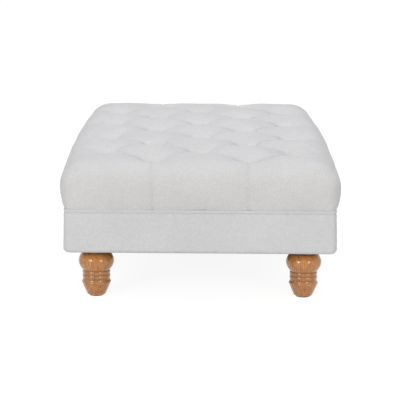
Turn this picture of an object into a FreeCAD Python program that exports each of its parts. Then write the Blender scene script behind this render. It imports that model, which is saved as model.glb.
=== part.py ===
import FreeCAD, Part
import Sketcher
import math
import os
import re

# A deep-buttoned footstool: a tufted top on a plain upholstered box, on four turned wooden legs.
# Millimetres. +Z is up, +Y runs along the length, and the front end faces -Y.
# The origin is on the floor, under the middle of the stool.

Vector = FreeCAD.Vector

# Driving sizes: name, value, what it measures.
SIZES = (
    ("stool_width", 720, "across the widest bulge of the top"),
    ("stool_length", 1200, "along the widest bulge of the top"),
    ("leg_rise", 132, "floor to the underside of the frame"),
    ("rail_height", 106, "depth of the rails"),
    ("rail_thickness", 25, "thickness of every rail"),
    ("joint_depth", 8, "how far end and cross rails are let into the side rails"),
    ("block_side", 93, "side of a corner block, with the leg at its middle"),
    ("block_height", 50, "height of a corner block"),
    ("band_setback", 7, "how far the base band stands inside the bulge"),
    ("band_padding", 6, "wadding round the rails"),
    ("band_corner", 18, "radius of the band's upright corners"),
    ("band_round", 12, "rounding of the band's top and bottom edges"),
    ("fabric_thickness", 2.5, "boucle cloth"),
    ("flap_width", 27, "cloth turned in under the deck"),
    ("piping_radius", 4.5, "covered cord in the seam"),
    ("piping_setback", 3, "cord's centre inside the band's face"),
    ("piping_lift", 1.8, "cord's centre above the band"),
    ("tape_width", 25, "cord's sewing tape, from the cord's centre inwards"),
    ("tape_thickness", 1.2, "cord's sewing tape"),
    ("cloth_thickness", 0.8, "cloth under the base"),
    ("cloth_overlap", 12, "cloth lapped under the rails"),
    ("deck_setback", 24, "deck and foam inside the bulge"),
    ("deck_thickness", 12, "plywood board of the top"),
    ("foam_thickness", 82, "foam block on the deck"),
    ("foam_corner", 20, "radius of the foam's upright corners"),
    ("top_rise", 130.3, "seam to the crest of the puffs"),
    ("seam_tuck", 22, "how far the top is drawn in at the seam"),
    ("bulge_rise", 62.3, "seam to the widest bulge"),
    ("shoulder_reach", 70, "shoulder curve, measured inwards"),
    ("shoulder_drop", 6.3, "crest of the puffs to the end of the shoulder curve"),
    ("crown_break", 105, "bulge to the break of the crown's slope, measured inwards"),
    ("crown_reach", 190, "bulge to the flat of the crown, measured inwards"),
    ("top_corner", 38, "radius of the top's corners at the bulge"),
    ("side_margin", 112, "widest bulge to the middle of an outer button, across the width"),
    ("end_margin", 104, "widest bulge to the middle of an outer button, along the length"),
    ("tuft_depth", 30, "crest of the puffs to a button's seat"),
    ("pleat_depth", 14, "crest of the puffs to a pleat"),
    ("pleat_reach", 60, "pleat to the flat of a puff"),
    ("side_pleat_depth", 6, "depth of the pleats on the upright sides"),
    ("pleat_bend", 52, "bend of a side pleat over the shoulder"),
    ("funnel_reach", 46, "button to the rim of its funnel"),
    ("button_radius", 12.5, "covered button"),
    ("button_foot", 10, "radius of a button at its seat"),
    ("button_thickness", 8, "covered button"),
    ("button_ease", 0.5, "gap round a button in its funnel"),
    ("twine_radius", 1.5, "button twine, measured at its corners"),
    ("twine_ease", 0.5, "gap round a twine in its hole"),
    ("toggle_length", 24, "toggle that holds a twine under the deck"),
    ("toggle_width", 7, "toggle"),
    ("toggle_thickness", 4, "toggle"),
    ("glide_thickness", 3, "nylon glide under the foot"),
    ("glide_radius", 19, "nylon glide"),
    ("foot_radius", 26, "leg, just above the floor"),
    ("foot_bevel", 3, "bevel of the foot's edge"),
    ("ring_height", 30, "floor to the lower edge of the leg's ring"),
    ("ring_band", 19, "height of the ring"),
    ("ring_radius", 38.5, "widest part of the ring"),
    ("groove_radius", 35.5, "grooves between the ring, the beads and the bulb"),
    ("bead_band", 11.5, "height of each of the two beads"),
    ("bead_radius", 37.4, "widest part of a bead"),
    ("bulb_radius", 47.5, "widest part of the bulb"),
    ("bulb_band", 46, "height of the bulb"),
    ("bolt_radius", 4, "hanger bolt"),
    ("bolt_in_leg", 45, "depth of the bolt in the leg"),
)

# Sizes worked out from the driving ones.
DERIVED = {
    "band_x": "stool_width / 2 - band_setback",
    "band_y": "stool_length / 2 - band_setback",
    "frame_x": "band_x - fabric_thickness - band_padding",
    "frame_y": "band_y - fabric_thickness - band_padding",
    "inner_x": "frame_x - rail_thickness",
    "inner_y": "frame_y - rail_thickness",
    "rail_ease": "band_round - fabric_thickness - band_padding",
    "frame_corner": "band_corner - fabric_thickness - band_padding",
    "frame_top": "leg_rise + rail_height",
    "band_bottom": "leg_rise - fabric_thickness",
    "band_top": "frame_top + fabric_thickness",
    "seam": "band_top + tape_thickness",
    "deck_bottom": "seam + fabric_thickness",
    "deck_top": "deck_bottom + deck_thickness",
    "foam_top": "deck_top + foam_thickness",
    "deck_x": "stool_width / 2 - deck_setback",
    "deck_y": "stool_length / 2 - deck_setback",
    "crest": "seam + top_rise",
    "button_seat": "crest - tuft_depth",
    "pleat_level": "crest - pleat_depth",
    "leg_x": "inner_x - block_side / 2",
    "leg_y": "inner_y - block_side / 2",
    "bead_low": "ring_height + ring_band",
    "bulb_low": "bead_low + 2 * bead_band",
    "block_top": "leg_rise + block_height",
    "column_pitch": "(stool_width / 2 - side_margin) / 2",
    "row_pitch": "(stool_length / 2 - end_margin) / 4",
    "cross_rail_place": "3 * row_pitch / 2",
}

# Columns and rows of the buttons' lattice, counted from the middle.
ROWS = range(-4, 5)
COLUMNS = range(-2, 3)
TINY = 1e-6

# Repeated and hidden round forms have few flat sides, and soft curves are made of chords.
FUNNEL_SIDES = 8
BUTTON_SIDES = 12
BULB_SIDES = 8
CORNER_SIDES = 6
FLANK_SIDES = 3
CORD_SIDES = 8
TWINE_SIDES = 4
BOLT_SIDES = 6
GLIDE_SIDES = 12
SHOULDER_STEPS = 6
TUCK_STEPS = 4
PLEAT_STEPS = 4

# Share of an inset by which the top's corners grow rounder over the shoulder.
CORNER_GROWTH = 0.25

# A funnel flares by this power of the height over its button, in these shares of that height.
FLARE_POWER = 1.5
FLARE_SHARES = (0, 1 / 3, 2 / 3, 1, 4 / 3)

os.makedirs("parts", exist_ok=True)
document = FreeCAD.newDocument("Footstool")
sheet = document.addObject("Spreadsheet::Sheet", "Sizes")
for row, (alias, number, meaning) in enumerate(SIZES, start=1):
    sheet.set("A%d" % row, alias)
    sheet.set("B%d" % row, str(number))
    sheet.set("C%d" % row, meaning)
    sheet.setAlias("B%d" % row, alias)
document.recompute()

ALIASES = {alias for alias, number, meaning in SIZES}
nodes = []


def formula(text):
    """The expression for a size, with derived names written out and aliases read from the sheet."""

    def write_out(match):
        word = match.group(0)
        if word in DERIVED:
            return "(" + formula(DERIVED[word]) + ")"
        return "Sizes." + word if word in ALIASES else word

    return re.sub(r"[a-z_]+", write_out, str(text))


def size(text):
    """The present value of a size formula."""
    result = sheet.evalExpression(formula(text))
    return float(getattr(result, "Value", result))


def bind(thing, **formulas):
    """Bind properties of an object to size formulas."""
    for name, text in formulas.items():
        thing.setExpression(name, formula(text))


def place(thing, x="0", y="0", z="0"):
    """Bind an object's position to size formulas."""
    for axis, text in zip("xyz", (x, y, z)):
        thing.setExpression("Placement.Base." + axis, formula(text))
    return thing


def node(thing, label):
    """Name an object as one of the pieces that are written out."""
    thing.Label = label
    nodes.append(thing)
    return thing


def box(name, low, high):
    """A block between two corners, each given as three formulas."""
    block = document.addObject("Part::Box", name)
    spans = ["(%s) - (%s)" % (top, bottom) for bottom, top in zip(low, high)]
    bind(block, Length=spans[0], Width=spans[1], Height=spans[2])
    return place(block, *low)


def centred_box(name, half_x, half_y, low_z, high_z):
    """A block round the stool's middle."""
    low = ("-(%s)" % half_x, "-(%s)" % half_y, low_z)
    return box(name, low, (half_x, half_y, high_z))


def prism(name, sides, radius, x, y, low_z, high_z):
    """An upright bar with flat sides, its radius measured at the corners."""
    bar = document.addObject("Part::Prism", name)
    bar.Polygon = sides
    bind(bar, Circumradius=radius, Height="(%s) - (%s)" % (high_z, low_z))
    return place(bar, x, y, low_z)


def cut(name, base, tool):
    """One object less another."""
    result = document.addObject("Part::Cut", name)
    result.Base = base
    result.Tool = tool
    return result


def fuse(name, pieces):
    """Objects joined into one solid."""
    result = document.addObject("Part::MultiFuse", name)
    result.Shapes = pieces
    return result


def group(name, pieces):
    """Separate solids kept side by side."""
    result = document.addObject("Part::Compound", name)
    result.Links = pieces
    return result


def new_body(name):
    """An empty body."""
    return document.addObject("PartDesign::Body", name)


def new_sketch(body, name, role, lift=None):
    """A sketch on one of the body's origin planes, lifted by a size formula if one is given."""
    plane = next(item for item in body.Origin.OriginFeatures if item.Role == role)
    sketch = body.newObject("Sketcher::SketchObject", name)
    sketch.AttachmentSupport = (plane, [""])
    sketch.MapMode = "FlatFace"
    if lift is not None:
        sketch.setExpression("AttachmentOffset.Base.z", formula(lift))
    return sketch


def hold(sketch, kind, *where):
    """A dimension of a sketch bound to the size formula that ends the list."""
    text = where[-1]
    index = sketch.addConstraint(Sketcher.Constraint(kind, *where[:-1], size(text)))
    sketch.setExpression("Constraints[%d]" % index, formula(text))


def draw_outline(sketch, corners):
    """A closed outline through corners given as pairs of formulas."""
    points = [Vector(size(x), size(y), 0) for x, y in corners]
    count = len(points)
    for index, start in enumerate(points):
        sketch.addGeometry(Part.LineSegment(start, points[(index + 1) % count]))
    for index in range(count):
        sketch.addConstraint(Sketcher.Constraint("Coincident", index, 2, (index + 1) % count, 1))
    for index, (x, y) in enumerate(corners):
        if x == "0":
            sketch.addConstraint(Sketcher.Constraint("PointOnObject", index, 1, -2))
        else:
            hold(sketch, "DistanceX", -1, 1, index, 1, x)
        if y == "0":
            sketch.addConstraint(Sketcher.Constraint("PointOnObject", index, 1, -1))
        else:
            hold(sketch, "DistanceY", -1, 1, index, 1, y)


def draw_rounded_rectangle(sketch, half_x, half_y, radius):
    """A rectangle round the sketch's origin, with rounded corners, sides first and then arcs."""
    x, y, r = size(half_x), size(half_y), size(radius)
    turn = math.pi / 2
    corners = ((x - r, y - r), (r - x, y - r), (r - x, r - y), (x - r, r - y))
    normal = Vector(0, 0, 1)
    arcs = []
    for quarter, (cx, cy) in enumerate(corners):
        circle = Part.Circle(Vector(cx, cy, 0), normal, r)
        arcs.append(Part.ArcOfCircle(circle, quarter * turn, (quarter + 1) * turn))
    for quarter, arc in enumerate(arcs):
        following = arcs[(quarter + 1) % 4]
        sketch.addGeometry(Part.LineSegment(arc.EndPoint, following.StartPoint))
    for arc in arcs:
        sketch.addGeometry(arc)
    for quarter in range(4):
        line, arc, following = quarter, 4 + quarter, 4 + (quarter + 1) % 4
        sketch.addConstraint(Sketcher.Constraint("Tangent", arc, 2, line, 1))
        sketch.addConstraint(Sketcher.Constraint("Tangent", line, 2, following, 1))
        sketch.addConstraint(Sketcher.Constraint("Vertical" if quarter % 2 else "Horizontal", line))
        if quarter:
            sketch.addConstraint(Sketcher.Constraint("Equal", 4, arc))
    hold(sketch, "Radius", 4, radius)
    hold(sketch, "DistanceY", -1, 1, 0, 1, half_y)
    hold(sketch, "DistanceX", 1, 1, -1, 1, half_x)
    hold(sketch, "DistanceY", 2, 1, -1, 1, half_y)
    hold(sketch, "DistanceX", -1, 1, 3, 1, half_x)


def pad(body, name, sketch, length):
    """Extrude a sketch along its normal."""
    feature = body.newObject("PartDesign::Pad", name)
    feature.Profile = sketch
    bind(feature, Length=length)
    body.Tip = feature
    return feature


def rims_at(shape, *heights):
    """The level edges of a shape at the given heights."""
    rims = []
    for number, edge in enumerate(shape.Edges, start=1):
        limits = edge.BoundBox
        if any(abs(limits.ZMin - height) + abs(limits.ZMax - height) < TINY for height in heights):
            rims.append("Edge%d" % number)
    return rims


def upright_edges(shape):
    """The upright edges of a shape."""
    uprights = []
    for number, edge in enumerate(shape.Edges, start=1):
        if edge.BoundBox.XLength + edge.BoundBox.YLength < TINY:
            uprights.append("Edge%d" % number)
    return uprights


def cushion_body(name, half_x, half_y, corner, low_z, high_z, rounding=None, bevel=None):
    """An upright block with rounded corners, and its top and bottom edges rounded or bevelled."""
    body = new_body(name)
    sketch = new_sketch(body, name + "_outline", "XY_Plane", low_z)
    draw_rounded_rectangle(sketch, half_x, half_y, corner)
    block = pad(body, name + "_pad", sketch, "(%s) - (%s)" % (high_z, low_z))
    if rounding or bevel:
        document.recompute()
        kind = "Fillet" if rounding else "Chamfer"
        easing = body.newObject("PartDesign::" + kind, name + "_easing")
        easing.Base = (block, rims_at(block.Shape, size(low_z), size(high_z)))
        bind(easing, **({"Radius": rounding} if rounding else {"Size": bevel}))
        body.Tip = easing
    return body


def turned_body(name, corners, x, y):
    """A solid turned round its own upright axis, from a half outline of (radius, height) formulas."""
    body = new_body(name)
    sketch = new_sketch(body, name + "_profile", "XZ_Plane")
    draw_outline(sketch, corners)
    turning = body.newObject("PartDesign::Revolution", name + "_turning")
    turning.Profile = sketch
    turning.ReferenceAxis = (sketch, ["V_Axis"])
    turning.Angle = 360
    body.Tip = turning
    return place(body, x, y)


def leg_places():
    """Names and positions of the four legs."""
    for y_word, y_sign in (("front", -1), ("back", 1)):
        for x_word, x_sign in (("left", -1), ("right", 1)):
            yield "%s_%s" % (y_word, x_word), x_sign, y_sign


def button_places():
    """Column and row of every button: odd columns on even rows, and even columns on odd rows."""
    last_row = ROWS[-1]
    last_column = COLUMNS[-1]
    for row in ROWS:
        for column in COLUMNS:
            in_corner = abs(row) == last_row and abs(column) == last_column
            if (row + column) % 2 and not in_corner:
                yield column, row


def make_rails():
    """Side rails with the end and cross rails let in, all with eased outer edges and round corners."""
    blank = new_body("frame_blank")
    outline = new_sketch(blank, "frame_outline", "XY_Plane", "leg_rise")
    near_corners = (("-frame_x", "-frame_y"), ("frame_x", "-frame_y"))
    far_corners = (("frame_x", "frame_y"), ("-frame_x", "frame_y"))
    draw_outline(outline, near_corners + far_corners)
    block = pad(blank, "frame_pad", outline, "rail_height")
    document.recompute()
    corner_rounding = blank.newObject("PartDesign::Fillet", "frame_corners")
    corner_rounding.Base = (block, upright_edges(block.Shape))
    bind(corner_rounding, Radius="frame_corner")
    blank.Tip = corner_rounding
    document.recompute()
    easing = blank.newObject("PartDesign::Chamfer", "frame_easing")
    easing.Base = (corner_rounding, rims_at(corner_rounding.Shape, size("leg_rise"), size("frame_top")))
    bind(easing, Size="rail_ease")
    blank.Tip = easing

    joint_x = "inner_x + joint_depth"
    for word, sign in (("front", -1), ("back", 1)):
        near, far = ("-frame_y", "-inner_y") if sign < 0 else ("inner_y", "frame_y")
        bar = box("end_bar_" + word, ("-(%s)" % joint_x, near, "leg_rise"), (joint_x, far, "frame_top"))
        rail = document.addObject("Part::Common", "end_rail_" + word)
        rail.Base = blank
        rail.Tool = bar
        node(rail, "end_rail_" + word)

    half = "rail_thickness / 2"
    cross_bars = []
    for word, sign in (("front", -1), ("back", 1)):
        middle = "%d * cross_rail_place" % sign
        low_y, high_y = "%s - %s" % (middle, half), "%s + %s" % (middle, half)
        low, high = ("-(%s)" % joint_x, low_y, "leg_rise"), (joint_x, high_y, "frame_top")
        bar = box("cross_bar_" + word, low, high)
        raised = "deck_x - flap_width - fabric_thickness"
        low, high = ("-(%s)" % raised, low_y, "frame_top"), (raised, high_y, "deck_bottom")
        rise = box("cross_rise_" + word, low, high)
        cross_bars.append(bar)
        node(fuse("cross_rail_" + word, [bar, rise]), "cross_rail_" + word)

    housings = []
    for word, sign in (("front", -1), ("back", 1)):
        near, far = ("-frame_y", "-inner_y") if sign < 0 else ("inner_y", "frame_y")
        low, high = ("-(%s)" % joint_x, near, "leg_rise"), (joint_x, far, "frame_top")
        housings.append(box("rebate_" + word, low, high))
    housing_group = group("housings", housings + cross_bars)
    for word, sign in (("left", -1), ("right", 1)):
        near, far = ("-frame_x", "-inner_x") if sign < 0 else ("inner_x", "frame_x")
        bar = box("side_bar_" + word, (near, "-frame_y", "leg_rise"), (far, "frame_y", "frame_top"))
        eased = document.addObject("Part::Common", "side_eased_" + word)
        eased.Base = blank
        eased.Tool = bar
        node(cut("side_rail_" + word, eased, housing_group), "side_rail_" + word)


def make_corner_blocks():
    """Blocks glued into the frame's corners, each bored for a leg's bolt."""
    half = "block_side / 2"
    for name, x_sign, y_sign in leg_places():
        x, y = "%d * leg_x" % x_sign, "%d * leg_y" % y_sign
        low = ("%s - %s" % (x, half), "%s - %s" % (y, half), "leg_rise")
        high = ("%s + %s" % (x, half), "%s + %s" % (y, half), "block_top")
        block = box("block_blank_" + name, low, high)
        bore = prism("block_bore_" + name, BOLT_SIDES, "bolt_radius", x, y, "leg_rise", "block_top")
        node(cut("corner_block_" + name, block, bore), "corner_block_" + name)


def make_legs():
    """Turned legs: a tapered foot, a ring, two beads and a bulb under a short neck."""
    outline = [
        ("0", "glide_thickness"),
        ("foot_radius - foot_bevel", "glide_thickness"),
        ("foot_radius", "glide_thickness + foot_bevel"),
        ("groove_radius", "ring_height"),
        ("ring_radius", "ring_height + ring_band / 3"),
        ("ring_radius", "ring_height + 2 * ring_band / 3"),
        ("groove_radius", "bead_low"),
        ("bead_radius", "bead_low + bead_band / 2"),
        ("groove_radius", "bead_low + bead_band"),
        ("bead_radius", "bead_low + 3 * bead_band / 2"),
    ]
    for step in range(BULB_SIDES + 1):
        angle = 180 * step / BULB_SIDES
        swell = "(bulb_radius - groove_radius) * sin(%g)" % angle
        rise = "bulb_band * (1 - cos(%g)) / 2" % angle
        outline.append(("groove_radius + " + swell, "bulb_low + " + rise))
    outline += [("groove_radius", "leg_rise"), ("0", "leg_rise")]
    legs = []
    bolts = []
    glides = []
    for name, x_sign, y_sign in leg_places():
        x, y = "%d * leg_x" % x_sign, "%d * leg_y" % y_sign
        turning = turned_body("turning_" + name, outline, x, y)
        bolt_foot = "leg_rise - bolt_in_leg"
        bore = prism("leg_bore_" + name, BOLT_SIDES, "bolt_radius", x, y, bolt_foot, "leg_rise")
        legs.append(cut("leg_" + name, turning, bore))
        bolts.append(prism("bolt_" + name, BOLT_SIDES, "bolt_radius", x, y, bolt_foot, "block_top"))
        glides.append(prism("glide_" + name, GLIDE_SIDES, "glide_radius", x, y, "0", "glide_thickness"))
    node(group("turned_legs", legs), "turned_legs")
    node(group("hanger_bolts", bolts), "hanger_bolts")
    node(group("foot_glides", glides), "foot_glides")


def make_base_upholstery():
    """Wadding and boucle band round the frame, the cloth under it and the piping on its top edge."""
    inner_round = "band_round - fabric_thickness"
    inner_corner = "band_corner - fabric_thickness"
    inner = ("band_x - fabric_thickness", "band_y - fabric_thickness", inner_corner, "leg_rise", "frame_top")
    outer = ("band_x", "band_y", "band_corner", "band_bottom", "band_top")
    band = cushion_body("band_blank", *outer, rounding="band_round")
    hollow = cushion_body("band_hollow", *inner, bevel=inner_round)
    mouth = centred_box("band_mouth", "inner_x", "inner_y", "band_bottom", "band_top")
    node(cut("band_cover", cut("band_shell", band, hollow), mouth), "band_cover")

    wadding = cushion_body("wadding_blank", *inner, bevel=inner_round)
    core = centred_box("wadding_hollow", "frame_x", "frame_y", "leg_rise", "frame_top")
    node(cut("band_wadding", wadding, core), "band_wadding")

    node(make_bottom_cloth(), "bottom_cloth")
    node(make_piping(), "piping")


def make_bottom_cloth():
    """Cloth lapped under the rails, with its corners cut out round the legs."""
    lap_x, lap_y = "inner_x + cloth_overlap", "inner_y + cloth_overlap"
    notch_x = "leg_x - groove_radius - cloth_thickness"
    notch_y = "leg_y - groove_radius - cloth_thickness"
    body = new_body("bottom_cloth")
    outline = new_sketch(body, "cloth_outline", "XY_Plane", "band_bottom - cloth_thickness")
    corners = []
    for x_sign, y_sign in ((1, -1), (1, 1), (-1, 1), (-1, -1)):
        lap = ("%d * (%s)" % (x_sign, lap_x), "%d * (%s)" % (y_sign, lap_y))
        notch = ("%d * (%s)" % (x_sign, notch_x), "%d * (%s)" % (y_sign, notch_y))
        turn = [(notch[0], lap[1]), notch, (lap[0], notch[1])]
        corners += turn if x_sign * y_sign < 0 else turn[::-1]
    draw_outline(outline, corners)
    pad(body, "cloth_pad", outline, "cloth_thickness")
    return body


def make_piping():
    """A covered cord on a sewing tape, all round the seam."""
    cord = new_body("cord")
    path = new_sketch(cord, "cord_path", "XY_Plane", "band_top + piping_lift")
    path_x, path_y = "band_x - piping_setback", "band_y - piping_setback"
    draw_rounded_rectangle(path, path_x, path_y, "band_corner - piping_setback")
    section = new_sketch(cord, "cord_section", "YZ_Plane")
    middle_z = "band_top + piping_lift"
    corners = []
    for side in range(CORD_SIDES):
        angle = 360 * (side + 0.5) / CORD_SIDES
        outwards = "%s + piping_radius * cos(%g)" % (path_y, angle)
        upwards = "%s + piping_radius * sin(%g)" % (middle_z, angle)
        corners.append((outwards, upwards))
    draw_outline(section, corners)
    pipe = cord.newObject("PartDesign::AdditivePipe", "cord_pipe")
    pipe.Profile = section
    pipe.Spine = (path, ["Edge%d" % number for number in range(1, 9)])
    cord.Tip = pipe

    corner = "band_corner - piping_setback"
    strip = cushion_body("tape_strip", path_x, path_y, corner, "band_top", "seam")
    inner = ("band_x - piping_setback - tape_width", "band_y - piping_setback - tape_width")
    tape = cut("tape", strip, centred_box("tape_mouth", *inner, "band_top", "seam"))
    return fuse("piping", [cord, tape])


def make_deck_and_foam(twine_holes):
    """The plywood deck and the foam block, pierced for the twines. Gives both as they are before that."""
    board = cushion_body("deck_blank", "deck_x", "deck_y", "foam_corner", "deck_bottom", "deck_top")
    node(cut("deck_board", board, twine_holes), "deck_board")
    foam = cushion_body("foam_blank", "deck_x", "deck_y", "foam_corner", "deck_top", "foam_top")
    node(cut("foam_block", foam, twine_holes), "foam_block")
    return [board, foam]


def make_twines_and_toggles():
    """One twine for each button, held under the deck by a toggle, and the holes for the twines."""
    twines = []
    toggles = []
    holes = []
    for column, row in button_places():
        name = "%d_%d" % (column, row)
        x, y = "%d * column_pitch" % column, "%d * row_pitch" % row
        run = (x, y, "deck_bottom", "button_seat")
        twines.append(prism("twine_" + name, TWINE_SIDES, "twine_radius", *run))
        holes.append(prism("hole_" + name, TWINE_SIDES, "twine_radius + twine_ease", *run))
        low = ("%s - toggle_length / 2" % x, "%s - toggle_width / 2" % y, "deck_bottom - toggle_thickness")
        high = ("%s + toggle_length / 2" % x, "%s + toggle_width / 2" % y, "deck_bottom")
        toggles.append(box("toggle_" + name, low, high))
    node(group("twine_toggles", toggles), "twine_toggles")
    node(group("button_twines", twines), "button_twines")
    return group("twine_holes", holes)


def faceted_solid(rings):
    """A solid of flat faces between rings of points, closed at both ends."""
    faces = [Part.Face(Part.makePolygon([*ring, ring[0]])) for ring in (rings[0], rings[-1])]
    for lower, upper in zip(rings, rings[1:]):
        for index, start in enumerate(lower):
            later = (index + 1) % len(lower)
            corners = [start, lower[later], upper[later], upper[index], start]
            faces.append(Part.Face(Part.makePolygon(corners)))
    solid = Part.makeSolid(Part.makeShell(faces))
    if solid.Volume < 0:
        solid.reverse()
    return solid


def ring_of_points(centre, radius, height, sides):
    """Corners of a level polygon."""
    angles = [2 * math.pi * side / sides for side in range(sides)]
    return [centre + Vector(radius * math.cos(angle), radius * math.sin(angle), height) for angle in angles]


def make_buttons():
    """Covered buttons: a low dome on a tapered foot that sits in the bottom of its funnel."""
    seat, thickness = size("button_seat"), size("button_thickness")
    profile = (
        (size("button_foot"), seat),
        (size("button_radius"), seat + thickness / 2),
        (size("button_radius / 2"), seat + thickness),
    )
    solids = []
    for column, row in button_places():
        centre = button_point(column, row)
        rings = [ring_of_points(centre, radius, height, BUTTON_SIDES) for radius, height in profile]
        solids.append(faceted_solid(rings))
    buttons = document.addObject("Part::Feature", "tuft_buttons")
    buttons.Shape = Part.makeCompound(solids)
    return node(buttons, "tuft_buttons")


def rounded_wire(inset, corner, height):
    """A level outline of the top, inside its widest outline by an inset, its corners in chords."""
    x, y = size("stool_width / 2") - inset, size("stool_length / 2") - inset
    quarters = ((1, 1), (-1, 1), (-1, -1), (1, -1))
    points = []
    for quarter, (x_sign, y_sign) in enumerate(quarters):
        centre = Vector(x_sign * (x - corner), y_sign * (y - corner), height)
        for step in range(CORNER_SIDES + 1):
            angle = math.pi / 2 * (quarter + step / CORNER_SIDES)
            points.append(centre + Vector(math.cos(angle), math.sin(angle), 0) * corner)
    return Part.makePolygon([*points, points[0]])


def top_form():
    """The top before it is buttoned: drawn in at the seam, bulged, rounded at the shoulder, crowned."""
    seam, crest, tuck = size("seam"), size("crest"), size("seam_tuck")
    bulge, reach, corner = size("seam + bulge_rise"), size("shoulder_reach"), size("top_corner")
    shoulder = crest - size("shoulder_drop")
    outlines = []
    for step in range(TUCK_STEPS + 1):
        angle = math.pi / 2 * step / TUCK_STEPS
        inset = tuck * (1 - math.sin(angle))
        height = bulge - (bulge - seam) * math.cos(angle)
        outlines.append(rounded_wire(inset, corner - inset, height))
    for step in range(1, SHOULDER_STEPS):
        angle = math.pi / 2 * step / SHOULDER_STEPS
        inset = reach * (1 - math.cos(angle))
        height = bulge + (shoulder - bulge) * math.sin(angle)
        outlines.append(rounded_wire(inset, corner + CORNER_GROWTH * inset, height))
    crown_corner = corner + CORNER_GROWTH * reach
    outlines.append(rounded_wire(size("crown_break"), crown_corner, (shoulder + crest) / 2))
    outlines.append(rounded_wire(size("crown_reach"), crown_corner, crest))
    return Part.makeLoft(outlines, True, True)


def button_point(column, row):
    """A button's place in the field, on the floor."""
    return Vector(column * size("column_pitch"), row * size("row_pitch"), 0)


def diagonal_valley(start, end):
    """What a diagonal row of pleats takes away: two round flanks, in chords, that meet in a crease."""
    crest, level, reach = size("crest"), size("pleat_level"), size("pleat_reach")
    along = end - start
    across = Vector(-along.y, along.x, 0).normalize()
    radius = (reach**2 + (crest - level) ** 2) / (2 * (crest - level))
    full_angle = math.asin(reach / radius)
    flank = []
    for step in range(FLANK_SIDES):
        angle = full_angle * step / FLANK_SIDES
        flank.append((reach - radius * math.sin(angle), crest - radius * (1 - math.cos(angle))))
    clear = crest + reach
    right = [(reach, clear)] + flank
    left = [(-offset, height) for offset, height in reversed(right)]
    outline = right + [(0, level)] + left
    section = [start + across * offset + Vector(0, 0, height) for offset, height in outline]
    return Part.Face(Part.makePolygon([*section, section[0]])).extrude(along)


def diagonal_valleys():
    """The pleats between neighbouring buttons, as unbroken diagonals across the field of buttons."""
    places = set(button_places())
    valleys = []
    for slant in (-1, 1):
        for column, row in sorted(places):
            if (column - slant, row - 1) in places or (column + slant, row + 1) not in places:
                continue
            steps = 0
            while (column + slant * (steps + 1), row + steps + 1) in places:
                steps += 1
            end = button_point(column + slant * steps, row + steps)
            valleys.append(diagonal_valley(button_point(column, row), end))
    return valleys


def side_pleat(start, outwards, reach):
    """A V groove from an outer button over the shoulder and down the side to the seam."""
    level, depth = size("pleat_level"), size("side_pleat_depth")
    radius = size("pleat_bend")
    lean = math.atan2(depth, size("bulge_rise"))
    width, height = size("pleat_reach"), size("tuft_depth")
    up = Vector(0, 0, 1)
    across = Vector(-outwards.y, outwards.x, 0)
    centre = start + outwards * (reach - depth - radius) + up * (level - radius)
    turn = math.pi / 2 + lean
    creases = [start + up * level]
    normals = [up]
    for step in range(PLEAT_STEPS + 1):
        angle = turn * step / PLEAT_STEPS
        normal = outwards * math.sin(angle) + up * math.cos(angle)
        creases.append(centre + normal * radius)
        normals.append(normal)
    fall = (creases[-1].z - size("band_bottom")) / math.cos(lean)
    creases.append(creases[-1] - (up * math.cos(lean) + outwards * math.sin(lean)) * fall)
    normals.append(normals[-1])
    rings = []
    for crease, normal in zip(creases, normals):
        rim = crease + normal * height
        rings.append([crease, rim + across * width, rim - across * width])
    return faceted_solid(rings)


def side_pleats():
    """Pleats from the outer buttons of each row straight out to the nearest side."""
    last_row, last_column = ROWS[-1], COLUMNS[-1]
    pleats = []
    for column, row in button_places():
        if abs(column) == last_column:
            outwards = Vector(math.copysign(1, column), 0, 0)
            reach = size("side_margin")
            pleats.append(side_pleat(button_point(column, row), outwards, reach))
        if abs(row) == last_row:
            outwards = Vector(0, math.copysign(1, row), 0)
            reach = size("end_margin")
            pleats.append(side_pleat(button_point(column, row), outwards, reach))
    return pleats


def funnel(centre):
    """The gathered funnel over a button, with a fold towards each pleat and each puff."""
    seat, crest, ease = size("button_seat"), size("crest"), size("button_ease")
    widest = seat + size("button_thickness") / 2
    corner_share = math.cos(math.pi / FUNNEL_SIDES)
    foot = (size("button_foot") + ease) / corner_share
    inner = (size("button_radius") + ease) / corner_share
    outer = size("funnel_reach")
    rings = [ring_of_points(centre, foot, seat, FUNNEL_SIDES)]
    for share in FLARE_SHARES:
        radius = inner + (outer - inner) * share**FLARE_POWER
        rings.append(ring_of_points(centre, radius, widest + (crest - widest) * share, FUNNEL_SIDES))
    return faceted_solid(rings)


def make_top_cover(twine_holes, fillings):
    """The buttoned boucle cover, quilted to its wadding, turned in under the edge of the deck."""
    cover = document.addObject("Part::Feature", "top_cover")
    funnels = [funnel(button_point(column, row)) for column, row in button_places()]
    tufted = top_form().cut(diagonal_valleys() + side_pleats() + funnels)
    pocket = [filling.Shape for filling in fillings]
    mouth_x, mouth_y = size("deck_x - flap_width"), size("deck_y - flap_width")
    seam, deck_bottom = size("seam"), size("deck_bottom")
    mouth = Part.makeBox(2 * mouth_x, 2 * mouth_y, deck_bottom - seam, Vector(-mouth_x, -mouth_y, seam))
    cover.Shape = tufted.cut(pocket + [mouth] + twine_holes.Shape.Solids)
    return node(cover, "top_cover")


def check_and_write():
    """Write every node, once the whole document is sound."""
    for thing in document.Objects:
        if "Invalid" in thing.State or "Error" in thing.State:
            raise RuntimeError("failed: " + thing.Name)
    for piece in nodes:
        if piece.Shape.isNull() or not piece.Shape.isValid():
            raise RuntimeError("bad shape: " + piece.Label)
    for piece in nodes:
        piece.Shape.exportStep("parts/%s.step" % piece.Label)


make_rails()
make_corner_blocks()
make_legs()
make_base_upholstery()
holes_for_twines = make_twines_and_toggles()
deck_and_foam = make_deck_and_foam(holes_for_twines)
make_buttons()
document.recompute()
make_top_cover(holes_for_twines, deck_and_foam)
document.recompute()
check_and_write()
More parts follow.
